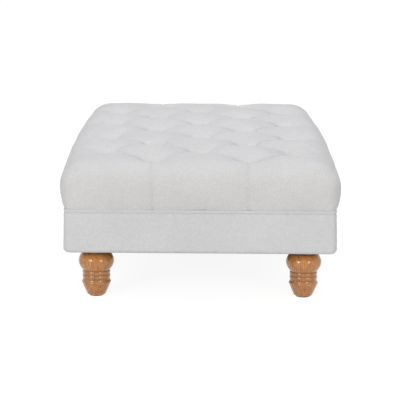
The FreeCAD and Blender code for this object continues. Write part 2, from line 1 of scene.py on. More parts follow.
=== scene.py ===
"""Looks of a deep-buttoned footstool: looped cream cloth, a piped seam and turned honey-wood legs.

Metres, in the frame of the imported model: +Z is up, +Y runs along the length, and the front end faces -Y.
"""

from __future__ import annotations

import logging
import math
from collections.abc import Sequence
from dataclasses import dataclass, field, replace
from enum import Enum
from functools import cache
from typing import Any

import bpy
import numpy as np
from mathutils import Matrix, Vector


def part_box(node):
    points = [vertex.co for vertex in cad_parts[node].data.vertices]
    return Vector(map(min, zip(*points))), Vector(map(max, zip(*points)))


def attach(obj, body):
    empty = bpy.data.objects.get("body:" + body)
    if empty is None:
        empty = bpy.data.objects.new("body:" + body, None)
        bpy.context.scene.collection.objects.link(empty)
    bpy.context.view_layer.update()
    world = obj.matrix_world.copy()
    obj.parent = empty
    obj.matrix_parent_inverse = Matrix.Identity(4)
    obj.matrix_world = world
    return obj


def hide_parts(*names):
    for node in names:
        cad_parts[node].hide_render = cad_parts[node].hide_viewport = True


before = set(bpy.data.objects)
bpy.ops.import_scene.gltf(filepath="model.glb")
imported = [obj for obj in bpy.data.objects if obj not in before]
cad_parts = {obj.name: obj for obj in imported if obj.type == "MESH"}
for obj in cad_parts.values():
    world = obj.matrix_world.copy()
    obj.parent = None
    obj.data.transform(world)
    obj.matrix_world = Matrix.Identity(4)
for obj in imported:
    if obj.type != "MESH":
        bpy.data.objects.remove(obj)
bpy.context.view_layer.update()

Array = np.ndarray
Colour = tuple[float, float, float]
Place = tuple[float, float, float]
Socket = bpy.types.NodeSocket

LOG = logging.getLogger("footstool")
QUARTER = math.pi / 2
NOISE_LATTICE = 257
SHARPEST_CORNER = 0.0005
TINY = 1e-9
LEAST_NORMAL = 1e-12


class Run(Enum):
    """Which way a length of timber runs, as the turn that its grain takes."""

    ALONG_WIDTH = (0.0, 0.0, 0.0)
    ALONG_LENGTH = (0.0, 0.0, math.pi / 2)
    UPRIGHT = (0.0, math.pi / 2, 0.0)


def smoothstep(share: Array) -> Array:
    """Ease a share from 0 to 1: 3 t^2 - 2 t^3, held at both ends.

    Args:
        share: The shares.

    Returns:
        The eased shares.
    """
    held = np.clip(share, 0.0, 1.0)
    return held * held * (3.0 - 2.0 * held)


def soft_noise(x: Array, y: Array, wavelength: float, seed: int) -> Array:
    """Smooth noise from -1 to 1: random lattice values, blended by a smoothstep in each direction.

    Args:
        x: First coordinate of each point.
        y: Second coordinate of each point.
        wavelength: Distance between lattice points.
        seed: Seed of the lattice values.

    Returns:
        One value for each point.
    """
    lattice = np.random.default_rng(seed).uniform(-1.0, 1.0, (NOISE_LATTICE, NOISE_LATTICE))
    grid_x, grid_y = x / wavelength, y / wavelength
    cell_x, cell_y = np.floor(grid_x).astype(int), np.floor(grid_y).astype(int)
    blend_x, blend_y = smoothstep(grid_x - cell_x), smoothstep(grid_y - cell_y)

    def corner(step_x: int, step_y: int) -> Array:
        """Lattice value at one corner of each point's cell."""
        return lattice[(cell_x + step_x) % NOISE_LATTICE, (cell_y + step_y) % NOISE_LATTICE]

    near = corner(0, 0) * (1.0 - blend_x) + corner(1, 0) * blend_x
    far = corner(0, 1) * (1.0 - blend_x) + corner(1, 1) * blend_x
    return near * (1.0 - blend_y) + far * blend_y


@dataclass(frozen=True)
class Ripple:
    """Uneven relief: its height, the distance between its waves and the seed of its random draw."""

    height: float
    wavelength: float
    seed: int

    def at(self, x: Array, y: Array) -> Array:
        """The relief at each point: its height times smooth noise."""
        return self.height * soft_noise(x, y, self.wavelength, self.seed)


def grid_faces(rows: int, columns: int, wrap_rows: bool = False, wrap_columns: bool = False) -> Array:
    """Quads between neighbouring points of a grid that is stored row after row.

    Args:
        rows: Number of rows of points.
        columns: Number of points in a row.
        wrap_rows: Whether the last row meets the first.
        wrap_columns: Whether the last point of a row meets its first.

    Returns:
        Point numbers of the quads, four to a row.
    """
    row = np.arange(rows if wrap_rows else rows - 1)[:, None]
    column = np.arange(columns if wrap_columns else columns - 1)[None, :]
    next_row, next_column = (row + 1) % rows, (column + 1) % columns
    corners = (
        row * columns + column,
        row * columns + next_column,
        next_row * columns + next_column,
        next_row * columns + column,
    )
    return np.stack(np.broadcast_arrays(*corners), axis=-1).reshape(-1, 4)


def ring_faces(first: Array, second: Array) -> Array:
    """Quads between two closed rings of as many points, which continue the faces inside the first."""
    return np.stack((np.roll(first, -1), first, second, np.roll(second, -1)), axis=-1)


def enclosed_volume(points: Array, faces: Sequence[Array]) -> float:
    """Signed volume of a closed mesh: a sixth of the sum of a . (b x c) over a fan of each face.

    Args:
        points: The points, three numbers each.
        faces: Arrays of point numbers, each with one number of corners.

    Returns:
        The volume, negative where the faces point inwards.
    """
    total = 0.0
    for group in faces:
        hub = points[group[:, 0]]
        for corner in range(1, group.shape[1] - 1):
            spoke, next_spoke = points[group[:, corner]], points[group[:, corner + 1]]
            total += float(np.einsum("ij,ij->", hub, np.cross(spoke, next_spoke)))
    return total / 6.0


def make_mesh(name: str, points: Array, faces: Sequence[Array]) -> bpy.types.Mesh:
    """Put points and faces into a smooth-shaded mesh.

    Args:
        name: Name of the mesh.
        points: The points, three numbers each.
        faces: Arrays of point numbers, each with one number of corners.

    Returns:
        The mesh.
    """
    corners = np.concatenate([group.ravel() for group in faces])
    counts = np.concatenate([np.full(len(group), group.shape[1]) for group in faces])
    mesh = bpy.data.meshes.new(name)
    mesh.vertices.add(len(points))
    mesh.vertices.foreach_set("co", points.astype(np.float32).ravel())
    mesh.loops.add(len(corners))
    mesh.loops.foreach_set("vertex_index", corners.astype(np.int32))
    mesh.polygons.add(len(counts))
    mesh.polygons.foreach_set("loop_start", (np.cumsum(counts) - counts).astype(np.int32))
    mesh.polygons.foreach_set("use_smooth", np.ones(len(counts), bool))
    mesh.update(calc_edges=True)
    mesh.validate()
    return mesh


def set_attribute(piece: bpy.types.Object, name: str, values: Array) -> None:
    """Store a value or a vector for each point of a piece.

    Args:
        piece: The piece.
        name: Name of the attribute.
        values: One number or three for each point.
    """
    is_vector = values.ndim == 2
    kind = "FLOAT_VECTOR" if is_vector else "FLOAT"
    attribute = piece.data.attributes.new(name, kind, "POINT")
    attribute.data.foreach_set("vector" if is_vector else "value", values.astype(np.float32).ravel())


def make_piece(
    name: str,
    points: Array,
    faces: Sequence[Array],
    material: bpy.types.Material,
    replaces: Sequence[str] = (),
) -> bpy.types.Object:
    """Make a closed piece whose faces point outwards, and set it on the stool.

    Args:
        name: Name of the piece.
        points: The points, three numbers each.
        faces: Arrays of point numbers, each with one number of corners.
        material: The finish.
        replaces: Solids that the piece stands for.

    Returns:
        The piece.
    """
    if enclosed_volume(points, faces) < 0.0:
        faces = [group[:, ::-1] for group in faces]
    mesh = make_mesh(name, points, faces)
    mesh.materials.append(material)
    piece = bpy.data.objects.new(name, mesh)
    bpy.context.scene.collection.objects.link(piece)
    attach(piece, "root")
    if replaces:
        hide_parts(*replaces)
    LOG.info("%s: %d points, %d faces", name, len(mesh.vertices), len(mesh.polygons))
    return piece


class NodeBench:
    """Adds nodes to a tree and links them as they are added."""

    def __init__(self, tree: bpy.types.NodeTree) -> None:
        """Work on a node tree."""
        self.tree = tree

    def add(self, kind: str, inputs: dict[str | int, Any] | None = None, **settings: Any) -> bpy.types.Node:
        """Add a node.

        Args:
            kind: The node's type, without its common prefix.
            inputs: A value, a colour or an output to link, for each named or numbered input.
            **settings: The node's own settings.

        Returns:
            The node.
        """
        node = self.tree.nodes.new("ShaderNode" + kind)
        for name, setting in settings.items():
            setattr(node, name, setting)
        for key, value in (inputs or {}).items():
            socket = node.inputs[key]
            if isinstance(value, Socket):
                self.tree.links.new(value, socket)
            elif socket.type == "RGBA":
                socket.default_value = (*value, 1.0)
            else:
                socket.default_value = value
        return node

    def group(self, tree: bpy.types.NodeTree, inputs: dict[str | int, Any]) -> bpy.types.Node:
        """Put in a shader node group with its own values."""
        return self.add("Group", inputs, node_tree=tree)

    def maths(self, operation: str, *values: Socket | float) -> Socket:
        """The result of an arithmetic node."""
        return self.add("Math", dict(enumerate(values)), operation=operation).outputs[0]

    def remap(
        self, value: Socket, low: float, high: float, to_low: float = 0.0, to_high: float = 1.0
    ) -> Socket:
        """A value eased from one range into another.

        Args:
            value: The output to read.
            low: Where the first range begins.
            high: Where it ends.
            to_low: Result at its beginning.
            to_high: Result at its end.

        Returns:
            The output that carries the result.
        """
        ranges = {"Value": value, "From Min": low, "From Max": high, "To Min": to_low, "To Max": to_high}
        return self.add("MapRange", ranges, interpolation_type="SMOOTHSTEP").outputs["Result"]

    def mix(
        self, share: Socket | float, first: Socket | Colour, second: Socket | Colour, blend: str = "MIX"
    ) -> Socket:
        """A blend of two colours.

        Args:
            share: Share of the second colour.
            first: A colour or an output.
            second: A colour or an output.
            blend: The blend mode.

        Returns:
            The output that carries the colour.
        """
        inputs = {0: share, 6: first, 7: second}
        return self.add("Mix", inputs, data_type="RGBA", blend_type=blend).outputs[2]

    def noise(self, place: Socket, scale: float, detail: float = 2.0, roughness: float = 0.5) -> Socket:
        """The value of a noise texture.

        Args:
            place: The output that carries the coordinates.
            scale: Waves in a metre.
            detail: Number of finer waves.
            roughness: Strength of the finer waves.

        Returns:
            The output that carries the value.
        """
        inputs = {"Vector": place, "Scale": scale, "Detail": detail, "Roughness": roughness}
        return self.add("TexNoise", inputs).outputs["Fac"]

    def stretched(self, place: Socket, scale: Place, turn: Place = (0.0, 0.0, 0.0)) -> Socket:
        """Coordinates scaled and turned about the origin."""
        return self.add("Mapping", {"Vector": place, "Scale": scale, "Rotation": turn}).outputs[0]


def shader_group(
    name: str, inputs: dict[str, Any], outputs: dict[str, str]
) -> tuple[NodeBench, bpy.types.Node, bpy.types.Node]:
    """Start a shader node group with named sockets.

    Args:
        name: Name of the group.
        inputs: Starting value of each input: a number, a colour, or None for coordinates.
        outputs: Kind of each output.

    Returns:
        A bench on the group's tree, its input node and its output node.
    """
    tree = bpy.data.node_groups.new(name, "ShaderNodeTree")
    for title, value in inputs.items():
        kind = "NodeSocketFloat"
        if value is None:
            kind = "NodeSocketVector"
        elif isinstance(value, tuple):
            kind = "NodeSocketColor"
        socket = tree.interface.new_socket(title, in_out="INPUT", socket_type=kind)
        if value is not None:
            socket.default_value = (*value, 1.0) if isinstance(value, tuple) else value
    for title, kind in outputs.items():
        tree.interface.new_socket(title, in_out="OUTPUT", socket_type=kind)
    return NodeBench(tree), tree.nodes.new("NodeGroupInput"), tree.nodes.new("NodeGroupOutput")


def finish_group(
    bench: NodeBench, outlet: bpy.types.Node, results: dict[str, Socket]
) -> bpy.types.NodeTree:
    """Link a group's results to its output node.

    Args:
        bench: Bench on the group's tree.
        outlet: The group's output node.
        results: The output that carries each named result.

    Returns:
        The group.
    """
    for title, socket in results.items():
        bench.tree.links.new(socket, outlet.inputs[title])
    return bench.tree


class Effects:
    """Shader node groups that several finishes share, each built once."""

    @staticmethod
    @cache
    def loops() -> bpy.types.NodeTree:
        """Looped yarn: round loops of two sizes, crossed by fine fibres, with painted shade in the darker
        hollows between.

        Returns:
            A group that gives Colour and Height.
        """
        inputs = {"Place": None, "Loop Size": 0.0055, "Light": (0.8, 0.8, 0.8), "Shade": (0.6, 0.6, 0.6)}
        outputs = {"Colour": "NodeSocketColor", "Height": "NodeSocketFloat"}
        bench, inlet, outlet = shader_group("YarnLoops", inputs, outputs)
        place = inlet.outputs["Place"]
        swirl = bench.add("TexNoise", {"Vector": place, "Scale": 140.0, "Detail": 1.0}).outputs["Color"]
        sway = bench.add("VectorMath", {0: swirl, 1: (0.5, 0.5, 0.5)}, operation="SUBTRACT").outputs[0]
        small = bench.add("VectorMath", {0: sway, "Scale": 0.006}, operation="SCALE").outputs[0]
        bent = bench.add("VectorMath", {0: place, 1: small}, operation="ADD").outputs[0]
        density = bench.maths("DIVIDE", 1.0, inlet.outputs["Loop Size"])
        wide = bench.maths("MULTIPLY", density, 0.55)
        round_loops = bench.add("TexVoronoi", {"Vector": bent, "Scale": density}, feature="SMOOTH_F1")
        round_loops.inputs["Smoothness"].default_value = 0.35
        clumps = bench.add("TexVoronoi", {"Vector": bent, "Scale": wide}, feature="SMOOTH_F1")
        clumps.inputs["Smoothness"].default_value = 0.6
        loop_top = bench.remap(round_loops.outputs["Distance"], 0.1, 0.75, 1.0, 0.0)
        clump_top = bench.remap(clumps.outputs["Distance"], 0.05, 0.8, 1.0, 0.0)
        fibre = bench.noise(bent, 900.0, 3.0, 0.65)
        relief = bench.maths("MULTIPLY_ADD", clump_top, 0.45, bench.maths("MULTIPLY", loop_top, 0.55))
        height = bench.maths("MULTIPLY_ADD", fibre, 0.25, relief)
        # Painted shade: the tone runs from the shade colour in the hollows to the light colour on the loop
        # tops.
        tone = bench.remap(relief, 0.1, 0.85)
        drift = bench.remap(bench.noise(place, 9.0, 3.0), 0.3, 0.7, 0.965, 1.0)
        plain = bench.mix(tone, inlet.outputs["Shade"], inlet.outputs["Light"])
        grey = bench.add("CombineColor", {"Red": drift, "Green": drift, "Blue": drift}).outputs[0]
        colour = bench.mix(1.0, plain, grey, "MULTIPLY")
        return finish_group(bench, outlet, {"Colour": colour, "Height": height})

    @staticmethod
    @cache
    def grain() -> bpy.types.NodeTree:
        """Wood grain: rings about an axis along X, long fibres and short dark pores.

        Returns:
            A group that gives Colour, Height and Roughness.
        """
        inputs = {
            "Place": None,
            "Ring Width": 0.004,
            "Light": (0.5, 0.3, 0.1),
            "Dark": (0.3, 0.1, 0.05),
            "Pores": 0.4,
            "Polish": 0.3,
        }
        outputs = {"Colour": "NodeSocketColor", "Height": "NodeSocketFloat", "Roughness": "NodeSocketFloat"}
        bench, inlet, outlet = shader_group("WoodGrain", inputs, outputs)
        place = inlet.outputs["Place"]
        slow = bench.noise(bench.stretched(place, (3.0, 14.0, 14.0)), 1.0, 3.0)
        parts = bench.add("SeparateXYZ", {0: place})
        across = bench.maths("POWER", parts.outputs["Y"], 2.0)
        upward = bench.maths("POWER", parts.outputs["Z"], 2.0)
        radius = bench.maths("SQRT", bench.maths("ADD", across, upward))
        wavy = bench.maths("MULTIPLY_ADD", slow, 0.022, radius)
        turn = bench.maths("FRACT", bench.maths("DIVIDE", wavy, inlet.outputs["Ring Width"]))
        late = bench.maths("MULTIPLY", bench.remap(turn, 0.25, 0.88), bench.remap(turn, 0.9, 1.0, 1.0, 0.0))
        fibre = bench.noise(bench.stretched(place, (18.0, 900.0, 900.0)), 1.0, 3.0, 0.6)
        streak = bench.noise(bench.stretched(place, (6.0, 160.0, 160.0)), 1.0, 3.0)
        rings = bench.maths("MULTIPLY", late, 0.38)
        share = bench.maths("MULTIPLY_ADD", bench.remap(streak, 0.3, 0.75), 0.5, rings)
        colour = bench.mix(share, inlet.outputs["Light"], inlet.outputs["Dark"])
        pore_noise = bench.noise(bench.stretched(place, (90.0, 1500.0, 1500.0)), 1.0, 1.0)
        pore = bench.maths("MULTIPLY", bench.remap(pore_noise, 0.62, 0.7), inlet.outputs["Pores"])
        darkened = bench.mix(pore, colour, inlet.outputs["Dark"])
        height = bench.maths("SUBTRACT", bench.maths("MULTIPLY", fibre, 0.5), pore)
        rough = bench.maths("MULTIPLY_ADD", fibre, 0.16, inlet.outputs["Polish"])
        return finish_group(bench, outlet, {"Colour": darkened, "Height": height, "Roughness": rough})

    @staticmethod
    @cache
    def speckle() -> bpy.types.NodeTree:
        """Fine cells and blotches: foam pores, pressed fibre dots, moulding texture or scuffs.

        Returns:
            A group that gives Colour, Height and Roughness.
        """
        inputs = {
            "Place": None,
            "Cell Size": 0.002,
            "Light": (0.5, 0.5, 0.5),
            "Dark": (0.4, 0.4, 0.4),
            "Roughness": 0.6,
        }
        outputs = {"Colour": "NodeSocketColor", "Height": "NodeSocketFloat", "Roughness": "NodeSocketFloat"}
        bench, inlet, outlet = shader_group("Speckle", inputs, outputs)
        place = inlet.outputs["Place"]
        density = bench.maths("DIVIDE", 1.0, inlet.outputs["Cell Size"])
        cells = bench.add("TexVoronoi", {"Vector": place, "Scale": density}).outputs["Distance"]
        blotch = bench.noise(place, 25.0, 4.0)
        share = bench.maths("MULTIPLY_ADD", cells, 0.7, bench.remap(blotch, 0.35, 0.7, 0.0, 0.4))
        colour = bench.mix(share, inlet.outputs["Light"], inlet.outputs["Dark"])
        rough = bench.maths("MULTIPLY_ADD", blotch, 0.2, inlet.outputs["Roughness"])
        height = bench.maths("SUBTRACT", 1.0, cells)
        return finish_group(bench, outlet, {"Colour": colour, "Height": height, "Roughness": rough})

    @staticmethod
    @cache
    def settled() -> bpy.types.NodeTree:
        """Darkening by a mask: painted shade in the cloth's folds, and stain with painted shade in the legs'
        grooves. The mask darkens a colour and dulls its gloss.

        Returns:
            A group that gives Colour and Roughness.
        """
        inputs = {
            "Place": None,
            "Mask": 0.0,
            "Colour": (0.5, 0.5, 0.5),
            "Tint": (0.3, 0.3, 0.3),
            "Roughness": 0.5,
        }
        outputs = {"Colour": "NodeSocketColor", "Roughness": "NodeSocketFloat"}
        bench, inlet, outlet = shader_group("StainAndPaintedShade", inputs, outputs)
        uneven = bench.remap(bench.noise(inlet.outputs["Place"], 60.0, 3.0), 0.25, 0.75, 0.6, 1.0)
        share = bench.maths("MULTIPLY", inlet.outputs["Mask"], uneven)
        colour = bench.mix(share, inlet.outputs["Colour"], inlet.outputs["Tint"])
        rough = bench.maths("MULTIPLY_ADD", share, 0.15, inlet.outputs["Roughness"])
        return finish_group(bench, outlet, {"Colour": colour, "Roughness": rough})


def new_material(name: str) -> tuple[bpy.types.Material, NodeBench, bpy.types.Node]:
    """Start a material with a surface shader of its own.

    Args:
        name: Name of the material.

    Returns:
        The material, a bench on its nodes and its shader.
    """
    material = bpy.data.materials.new(name)
    material.use_nodes = True
    bench = NodeBench(material.node_tree)
    return material, bench, material.node_tree.nodes["Principled BSDF"]


@dataclass(frozen=True)
class BoucleFinish:
    """Cream cloth of looped yarn, with painted shade that darkens its folds where a mask is given."""

    name: str
    light: Colour = (0.745, 0.742, 0.735)
    shade: Colour = (0.690, 0.686, 0.677)
    # Colour of the painted shade in the folds and the buttons' funnels.
    fold: Colour = (0.42, 0.41, 0.39)
    loop_size: float = 0.0034
    relief: float = 0.0011
    strength: float = 0.42
    sheen: float = 0.15
    sheen_roughness: float = 0.6
    roughness: float = 0.95
    gloss: float = 0.15
    painted_shade_mask: str = ""

    def material(self) -> bpy.types.Material:
        """Make the cloth's material.

        Returns:
            The material.
        """
        material, bench, shader = new_material(self.name)
        place = bench.add("TexCoord").outputs["Object"]
        inputs = {"Place": place, "Loop Size": self.loop_size, "Light": self.light, "Shade": self.shade}
        yarn = bench.group(Effects.loops(), inputs)
        colour = yarn.outputs["Colour"]
        # Painted shade: the mask darkens the colour towards the fold colour in the folds and round the
        # buttons.
        if self.painted_shade_mask:
            mask = bench.add("Attribute", attribute_name=self.painted_shade_mask).outputs["Fac"]
            inputs = {"Place": place, "Mask": mask, "Colour": colour, "Tint": self.fold}
            colour = bench.group(Effects.settled(), inputs).outputs["Colour"]
        relief = {"Height": yarn.outputs["Height"], "Strength": self.strength, "Distance": self.relief}
        bump = bench.add("Bump", relief)
        bench.tree.links.new(colour, shader.inputs["Base Color"])
        bench.tree.links.new(bump.outputs[0], shader.inputs["Normal"])
        shader.inputs["Roughness"].default_value = self.roughness
        shader.inputs["Specular IOR Level"].default_value = self.gloss
        shader.inputs["Sheen Weight"].default_value = self.sheen
        shader.inputs["Sheen Roughness"].default_value = self.sheen_roughness
        return material


@dataclass(frozen=True)
class WoodFinish:
    """Timber, bare or lacquered, with stain and painted shade darkening its turned grooves where it has any.
    """

    name: str
    light: Colour
    dark: Colour
    ring_width: float = 0.004
    pores: float = 0.3
    polish: float = 0.5
    coat: float = 0.0
    coat_ior: float = 1.5
    coat_roughness: float = 0.10
    gloss: float = 0.4
    relief: float = 0.0002
    run: Run = Run.ALONG_WIDTH
    billet: str = ""
    groove_mask: str = ""
    # Colour of the stain and painted shade in the grooves.
    stain_and_shade: Colour = (0.13, 0.045, 0.015)

    def material(self) -> bpy.types.Material:
        """Make the timber's material.

        Returns:
            The material.
        """
        material, bench, shader = new_material(self.name)
        if self.billet:
            place = bench.add("Attribute", attribute_name=self.billet).outputs["Vector"]
        else:
            own = bench.add("TexCoord").outputs["Object"]
            place = bench.stretched(own, (1.0, 1.0, 1.0), self.run.value)
        inputs = {
            "Place": place,
            "Ring Width": self.ring_width,
            "Light": self.light,
            "Dark": self.dark,
            "Pores": self.pores,
            "Polish": self.polish,
        }
        grain = bench.group(Effects.grain(), inputs)
        colour, rough = grain.outputs["Colour"], grain.outputs["Roughness"]
        # Stain with painted shade: the groove mask darkens the colour towards the stain colour.
        if self.groove_mask:
            mask = bench.add("Attribute", attribute_name=self.groove_mask).outputs["Fac"]
            inputs = {"Place": place, "Mask": mask, "Colour": colour, "Tint": self.stain_and_shade, "Roughness": rough}
            settled = bench.group(Effects.settled(), inputs)
            colour, rough = settled.outputs["Colour"], settled.outputs["Roughness"]
        relief = {"Height": grain.outputs["Height"], "Strength": 0.3, "Distance": self.relief}
        bump = bench.add("Bump", relief)
        bench.tree.links.new(colour, shader.inputs["Base Color"])
        bench.tree.links.new(rough, shader.inputs["Roughness"])
        bench.tree.links.new(bump.outputs[0], shader.inputs["Normal"])
        shader.inputs["Specular IOR Level"].default_value = self.gloss
        shader.inputs["Coat Weight"].default_value = self.coat
        shader.inputs["Coat IOR"].default_value = self.coat_ior
        shader.inputs["Coat Roughness"].default_value = self.coat_roughness
        return material


@dataclass(frozen=True)
class SpeckledFinish:
    """Foam, pressed cloth, moulded plastic, twine or plated steel, told apart by cell size and gloss."""

    name: str
    light: Colour
    dark: Colour
    cell_size: float
    roughness: float
    relief: float
    metallic: float = 0.0
    squash: Place = (1.0, 1.0, 1.0)

    def material(self) -> bpy.types.Material:
        """Make the finish's material.

        Returns:
            The material.
        """
        material, bench, shader = new_material(self.name)
        place = bench.stretched(bench.add("TexCoord").outputs["Object"], self.squash)
        inputs = {
            "Place": place,
            "Cell Size": self.cell_size,
            "Light": self.light,
            "Dark": self.dark,
            "Roughness": self.roughness,
        }
        speckle = bench.group(Effects.speckle(), inputs)
        relief = {"Height": speckle.outputs["Height"], "Strength": 0.5, "Distance": self.relief}
        bump = bench.add("Bump", relief)
        bench.tree.links.new(speckle.outputs["Colour"], shader.inputs["Base Color"])
        bench.tree.links.new(speckle.outputs["Roughness"], shader.inputs["Roughness"])
        bench.tree.links.new(bump.outputs[0], shader.inputs["Normal"])
        shader.inputs["Metallic"].default_value = self.metallic
        return material


@dataclass(frozen=True)
class RoundedOutline:
    """Stations round a rectangle with round corners.

    A station has a share (sx, sy) of the way to the corner centres and a direction (cos t, sin t).
    For half sizes (a, b) and corner radius r its point is ((a - r) sx + r cos t, (b - r) sy + r sin t).
    """

    share: Array
    outward: Array

    @classmethod
    def spaced(cls, half_x: float, half_y: float, spacing: float, corner_steps: int) -> RoundedOutline:
        """Lay out the stations.

        Args:
            half_x: Half of the rectangle's width.
            half_y: Half of its length.
            spacing: Distance between stations along the sides.
            corner_steps: Number of steps round a corner.

        Returns:
            The outline's stations.
        """
        signs = np.array(((1.0, 1.0), (-1.0, 1.0), (-1.0, -1.0), (1.0, -1.0)))
        lengths = (2.0 * half_x, 2.0 * half_y, 2.0 * half_x, 2.0 * half_y)
        shares, angles = [], []
        for quarter, length in enumerate(lengths):
            turn = np.linspace(0.0, 1.0, corner_steps, endpoint=False)
            shares.append(np.repeat(signs[quarter][None, :], corner_steps, axis=0))
            angles.append((quarter + turn) * QUARTER)
            steps = max(2, round(length / spacing))
            along = np.linspace(0.0, 1.0, steps, endpoint=False)[:, None]
            shares.append(signs[quarter] * (1.0 - along) + signs[(quarter + 1) % 4] * along)
            angles.append(np.full(steps, (quarter + 1) * QUARTER))
        angle = np.concatenate(angles)
        return cls(np.concatenate(shares), np.stack((np.cos(angle), np.sin(angle)), axis=-1))

    def trace(self, half_x: Array, half_y: Array, corner: Array, height: Array) -> Array:
        """Points of the outline at given sizes, which may differ from row to row and point to point.

        Args:
            half_x: Half width.
            half_y: Half length.
            corner: Corner radius.
            height: Height above the floor.

        Returns:
            The points, in rows of one for each station.
        """
        x = (half_x - corner) * self.share[:, 0] + corner * self.outward[:, 0]
        y = (half_y - corner) * self.share[:, 1] + corner * self.outward[:, 1]
        return np.stack(np.broadcast_arrays(x, y, height), axis=-1)

    def distance(self, half_x: float, half_y: float, corner: float) -> Array:
        """Distance of each station along the outline from the first.

        Args:
            half_x: Half of the rectangle's width.
            half_y: Half of its length.
            corner: Its corner radius.

        Returns:
            The distances, from 0.
        """
        loop = self.trace(half_x, half_y, corner, 0.0).reshape(-1, 3)
        steps = np.linalg.norm(np.diff(loop, axis=0), axis=1)
        return np.concatenate(([0.0], np.cumsum(steps)))


@dataclass(frozen=True)
class TopForm:
    """The top before it is buttoned, as a sheet that is fitted over it from the middle to the seam.

    Over the flat middle a point of the sheet is at its own (u, v). Past it, the sheet goes down a
    meridian of two quarter ellipses, the shoulder and the tuck, and at a corner its L-shaped rings
    are laid round the outline in proportion to their length. Above the seam the sides bow outwards
    a little between the corners: x grows by b (x / X) (1 - (y / Y)^2), and y likewise.
    """

    half_x: float
    half_y: float
    seam: float
    crest: float
    shoulder_reach: float = 0.070
    shoulder_drop: float = 0.0063
    crown_reach: float = 0.190
    bulge_rise: float = 0.0623
    tuck: float = 0.0150
    corner: float = 0.042
    seam_corner: float = 0.012
    corner_growth: float = 1.2
    bow_x: float = 0.015
    bow_y: float = 0.003

    @staticmethod
    def quarter_ellipse(first: float, second: float) -> float:
        """Length of a quarter of an ellipse: pi (3 (a + b) - sqrt((3 a + b) (a + 3 b))) / 4."""
        root = math.sqrt((3.0 * first + second) * (first + 3.0 * second))
        return math.pi * (3.0 * (first + second) - root) / 4.0

    @property
    def flat(self) -> tuple[float, float]:
        """Half sizes of the middle, inside the shoulder."""
        return self.half_x - self.shoulder_reach, self.half_y - self.shoulder_reach

    @property
    def shoulder_rise(self) -> float:
        """Height of the shoulder over the bulge."""
        return self.crest - self.shoulder_drop - self.seam - self.bulge_rise

    @property
    def shoulder_length(self) -> float:
        """Length of the shoulder's curve."""
        return self.quarter_ellipse(self.shoulder_reach, self.shoulder_rise)

    @property
    def side_length(self) -> float:
        """Length of the sheet from the flat middle down to the seam."""
        return self.shoulder_length + self.quarter_ellipse(self.tuck, self.bulge_rise)

    def meridian(self, down: Array) -> tuple[Array, Array]:
        """Reach and height of the sheet at a distance down from the flat middle.

        Shoulder: reach a sin p, height b cos p over the bulge. Tuck: reach a - t (1 - cos q), height
        c sin q under the bulge. Both angles grow evenly with the distance.

        Args:
            down: Distance down the sheet.

        Returns:
            Reach outside the flat middle, and height above the floor.
        """
        over = np.clip(down / self.shoulder_length, 0.0, 1.0) * QUARTER
        tuck_length = self.side_length - self.shoulder_length
        under = np.clip((down - self.shoulder_length) / tuck_length, 0.0, 1.0) * QUARTER
        bulge = self.seam + self.bulge_rise
        reach = self.shoulder_reach * np.sin(over) - self.tuck * (1.0 - np.cos(under))
        height = bulge + self.shoulder_rise * np.cos(over) - self.bulge_rise * np.sin(under)
        return reach, height

    def surface(self, u: Array, v: Array) -> Array:
        """Points of the sheet on the form.

        Args:
            u: Place across the unfolded sheet.
            v: Place along it.

        Returns:
            The points.
        """
        flat_x, flat_y = self.flat
        over_x = np.maximum(np.abs(u) - flat_x, 0.0)
        over_y = np.maximum(np.abs(v) - flat_y, 0.0)
        down = np.maximum(over_x, over_y)
        reach, height = self.meridian(down)
        is_over = down <= self.shoulder_length
        inset = self.shoulder_reach - reach
        tightening = (self.corner - self.seam_corner) / self.tuck
        wanted = self.corner + np.where(is_over, self.corner_growth, -tightening) * inset
        corner = np.maximum(np.minimum(reach, wanted), TINY)
        straight = reach - corner
        path = 2.0 * straight + QUARTER * corner
        safe_down = np.maximum(down, TINY)
        share = np.where(over_x >= over_y, 0.5 * over_y / safe_down, 1.0 - 0.5 * over_x / safe_down)
        along = share * path
        angle = np.clip((along - straight) / corner, 0.0, QUARTER)
        after = np.maximum(along - straight - QUARTER * corner, 0.0)
        beyond_x = straight + corner * np.cos(angle) - after
        beyond_y = np.minimum(along, straight) + corner * np.sin(angle)
        x = np.sign(u) * (np.minimum(np.abs(u), flat_x) + np.where(down > 0.0, beyond_x, 0.0))
        y = np.sign(v) * (np.minimum(np.abs(v), flat_y) + np.where(down > 0.0, beyond_y, 0.0))
        fullness = np.clip((height - self.seam) / self.bulge_rise, 0.0, 1.0)
        swell_x = self.bow_x * fullness * (x / self.half_x) * (1.0 - (y / self.half_y) ** 2)
        swell_y = self.bow_y * fullness * (y / self.half_y) * (1.0 - (x / self.half_x) ** 2)
        return np.stack((x + swell_x, y + swell_y, height + self.crown(u, v)), axis=-1)

    def crown(self, u: Array, v: Array) -> Array:
        """Rise of the flat middle over the shoulder: the drop times one less an eased edge share.

        Args:
            u: Place across the unfolded sheet.
            v: Place along it.

        Returns:
            The rise.
        """
        span = self.crown_reach - self.shoulder_reach
        share_x = np.clip((self.crown_reach - self.half_x + np.abs(u)) / span, 0.0, 1.0)
        share_y = np.clip((self.crown_reach - self.half_y + np.abs(v)) / span, 0.0, 1.0)
        share = (share_x**6 + share_y**6) ** (1.0 / 6.0)
        return self.shoulder_drop * (1.0 - smoothstep(share))


